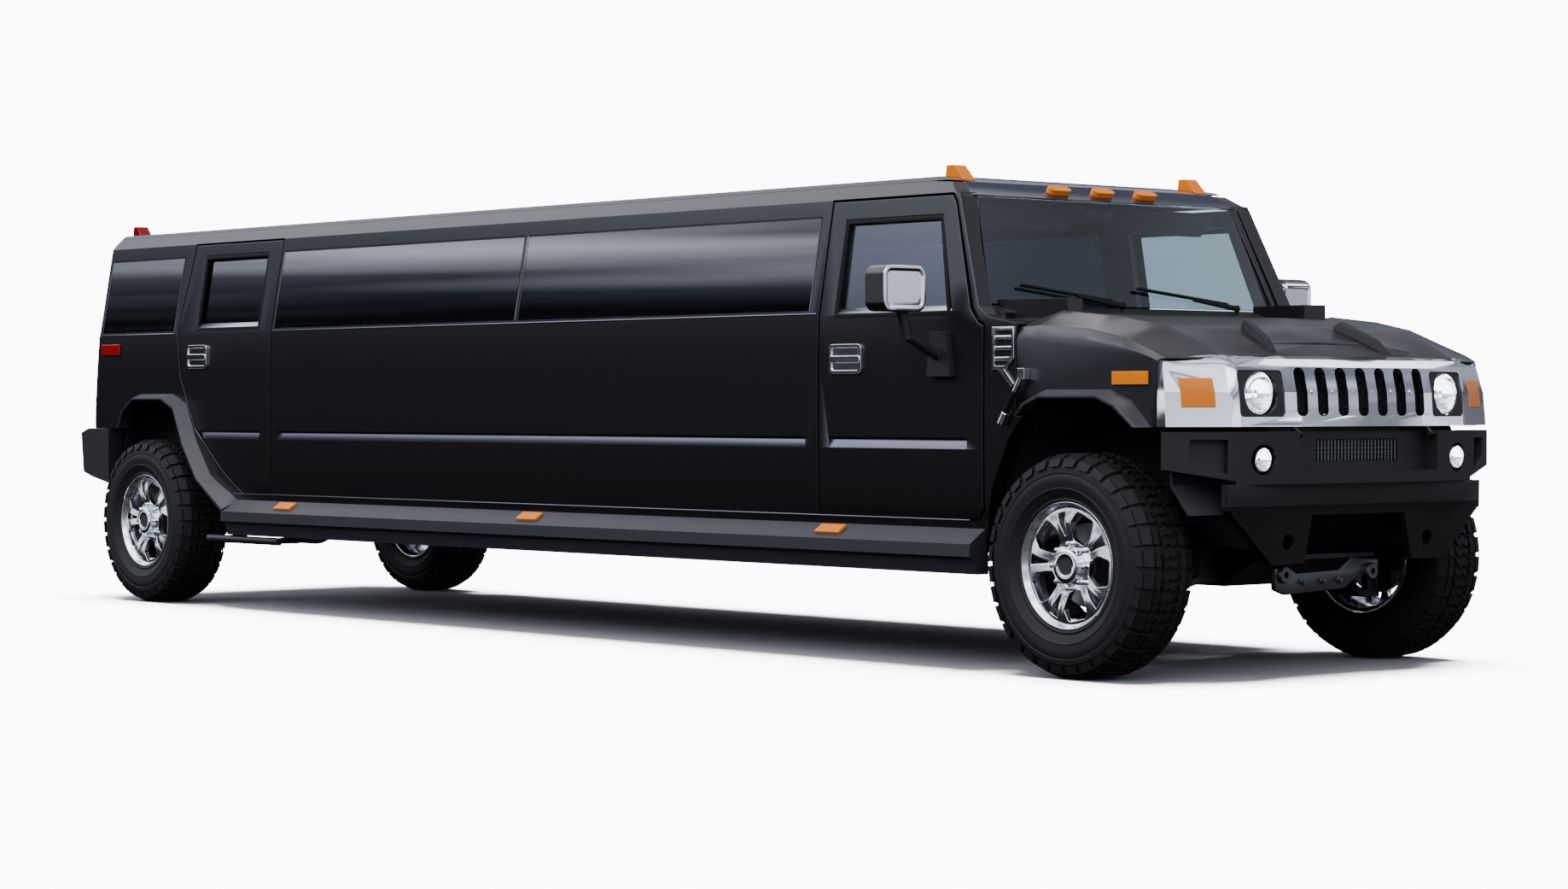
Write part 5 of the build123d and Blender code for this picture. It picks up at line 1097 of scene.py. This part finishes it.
def toward(tree, direction, bearing, near, far, away, facing):
    """Brightness factor running from one side of the studio to the other."""
    part = add(tree, "ShaderNodeVectorMath", {"operation": "DOT_PRODUCT"}, {0: direction.outputs["Generated"]})
    part.inputs[1].default_value = bearing
    return add(
        tree, "ShaderNodeMapRange", {"From Min": near, "From Max": far, "To Min": away, "To Max": facing},
        {"Value": part.outputs["Value"]},
    )


def gathered(name, finishes):
    """A collection of the pieces that wear any of these materials, for a light that falls on them alone."""
    group = bpy.data.collections.new(name)
    for thing in bpy.data.objects:
        worn = thing.data.materials if thing.type == "MESH" else ()
        if any(mat and mat.name in finishes for mat in worn):
            group.objects.link(thing)
    return group


def make_light():
    """White backdrop, a soft sky with faint clouds for the reflections, and broad overhead sources."""
    world = bpy.data.worlds.new("studio")
    bpy.context.scene.world = world
    world.use_nodes = True
    tree = world.node_tree
    out = tree.nodes["World Output"]
    sky = tree.nodes["Background"]
    coords = add(tree, "ShaderNodeTexCoord")
    split = add(tree, "ShaderNodeSeparateXYZ", links={"Vector": coords.outputs["Generated"]})
    height = add(tree, "ShaderNodeMapRange", {"From Min": -1.0, "From Max": 1.0}, {"Value": split.outputs["Z"]})
    low = sky_band(tree, height, LOW_SKY)
    high = sky_band(tree, height, HIGH_SKY)
    ahead = toward(tree, coords, *AHEAD)
    beside = toward(tree, coords, *BESIDE)
    glows = []
    for band, factor in ((low, ahead), (high, beside)):
        glow = add(tree, "ShaderNodeVectorMath", {"operation": "SCALE"}, {0: band.outputs["Color"]})
        tree.links.new(factor.outputs["Result"], glow.inputs["Scale"])
        glows.append(glow)
    total = add(
        tree, "ShaderNodeVectorMath", {"operation": "ADD"},
        {0: glows[0].outputs["Vector"], 1: glows[1].outputs["Vector"]},
    )
    stretch = add(
        tree, "ShaderNodeMapping", {"Scale": (1.0, 1.0, CLOUD_STRETCH)}, {"Vector": coords.outputs["Generated"]}
    )
    clouds = add(
        tree, "ShaderNodeTexNoise", {"Scale": CLOUD_SIZE, "Detail": CLOUD_DETAIL}, {"Vector": stretch.outputs["Vector"]}
    )
    patches = add(tree, "ShaderNodeMapRange", CLOUD_RANGE, {"Value": clouds.outputs["Fac"]})
    tree.links.new(total.outputs["Vector"], sky.inputs["Color"])
    tree.links.new(patches.outputs["Result"], sky.inputs["Strength"])
    seen = add(tree, "ShaderNodeLightPath")
    bounced = add(
        tree, "ShaderNodeMath", {"operation": "ADD"},
        {0: seen.outputs["Diffuse Depth"], 1: seen.outputs["Glossy Depth"]},
    )
    through = add(
        tree, "ShaderNodeMath", {"operation": "SUBTRACT", "use_clamp": True},
        {0: seen.outputs["Is Transmission Ray"], 1: bounced.outputs["Value"]},
    )
    direct = add(
        tree, "ShaderNodeMath", {"operation": "MAXIMUM"},
        {0: seen.outputs["Is Camera Ray"], 1: through.outputs["Value"]},
    )
    white = add(
        tree, "ShaderNodeMath", {"operation": "MULTIPLY_ADD", 1: WHITE_SEEN, 2: WHITE_THROUGH},
        {0: seen.outputs["Is Camera Ray"]},
    )
    backdrop = add(tree, "ShaderNodeBackground", {"Color": (1, 1, 1, 1)}, {"Strength": white.outputs["Value"]})
    mix = add(tree, "ShaderNodeMixShader", links={"Fac": direct.outputs["Value"]})
    tree.links.new(sky.outputs["Background"], mix.inputs[1])
    tree.links.new(backdrop.outputs["Background"], mix.inputs[2])
    tree.links.new(mix.outputs["Shader"], out.inputs["Surface"])
    for name, energy, spread, tilt_x, tilt_y in SOFTBOXES:
        bpy.ops.object.light_add(type="SUN", location=(0, 0, 6))
        lamp = bpy.context.object
        lamp.name = name
        lamp.data.angle = math.radians(spread)
        lamp.data.energy = energy
        lamp.rotation_euler = (math.radians(tilt_x), math.radians(tilt_y), 0)
        if name == "floor_softbox":            # washes the floor only, so it stays white under dark paint
            lamp.light_linking.receiver_collection = gathered("floor_only", (WHITE_FLOOR,))
    for name, place, aim, size, radiance in CARDS:
        bpy.ops.object.light_add(type="AREA", location=place)
        card = bpy.context.object
        card.name = name
        card.data.shape = "RECTANGLE"
        card.data.size, card.data.size_y = size
        card.data.energy = radiance * math.pi * size[0] * size[1]
        card.data.color = CARD_COLOUR
        card.rotation_mode = "QUATERNION"
        card.rotation_quaternion = (Vector(aim) - Vector(place)).to_track_quat("-Z", "Y")
        card.visible_camera = False
        card.light_linking.receiver_collection = gathered(name + "_on", PLATED)


def make_camera():
    """Standing eye at the right front corner."""
    azimuth, down = math.radians(AZIMUTH), math.radians(DOWN)
    look = Vector((-math.sin(azimuth) * math.cos(down), math.cos(azimuth) * math.cos(down), -math.sin(down)))
    camera = bpy.data.objects.new("camera", bpy.data.cameras.new("camera"))
    bpy.context.scene.collection.objects.link(camera)
    camera.location = EYE
    camera.rotation_mode = "QUATERNION"
    camera.rotation_quaternion = look.to_track_quat("-Z", "Y")
    camera.data.sensor_width = SENSOR
    camera.data.lens = FOCAL_PIXELS / FRAME_PIXELS * SENSOR
    camera.data.clip_end = FAR_CLIP
    bpy.context.scene.camera = camera


make_floor()
make_light()
make_camera()
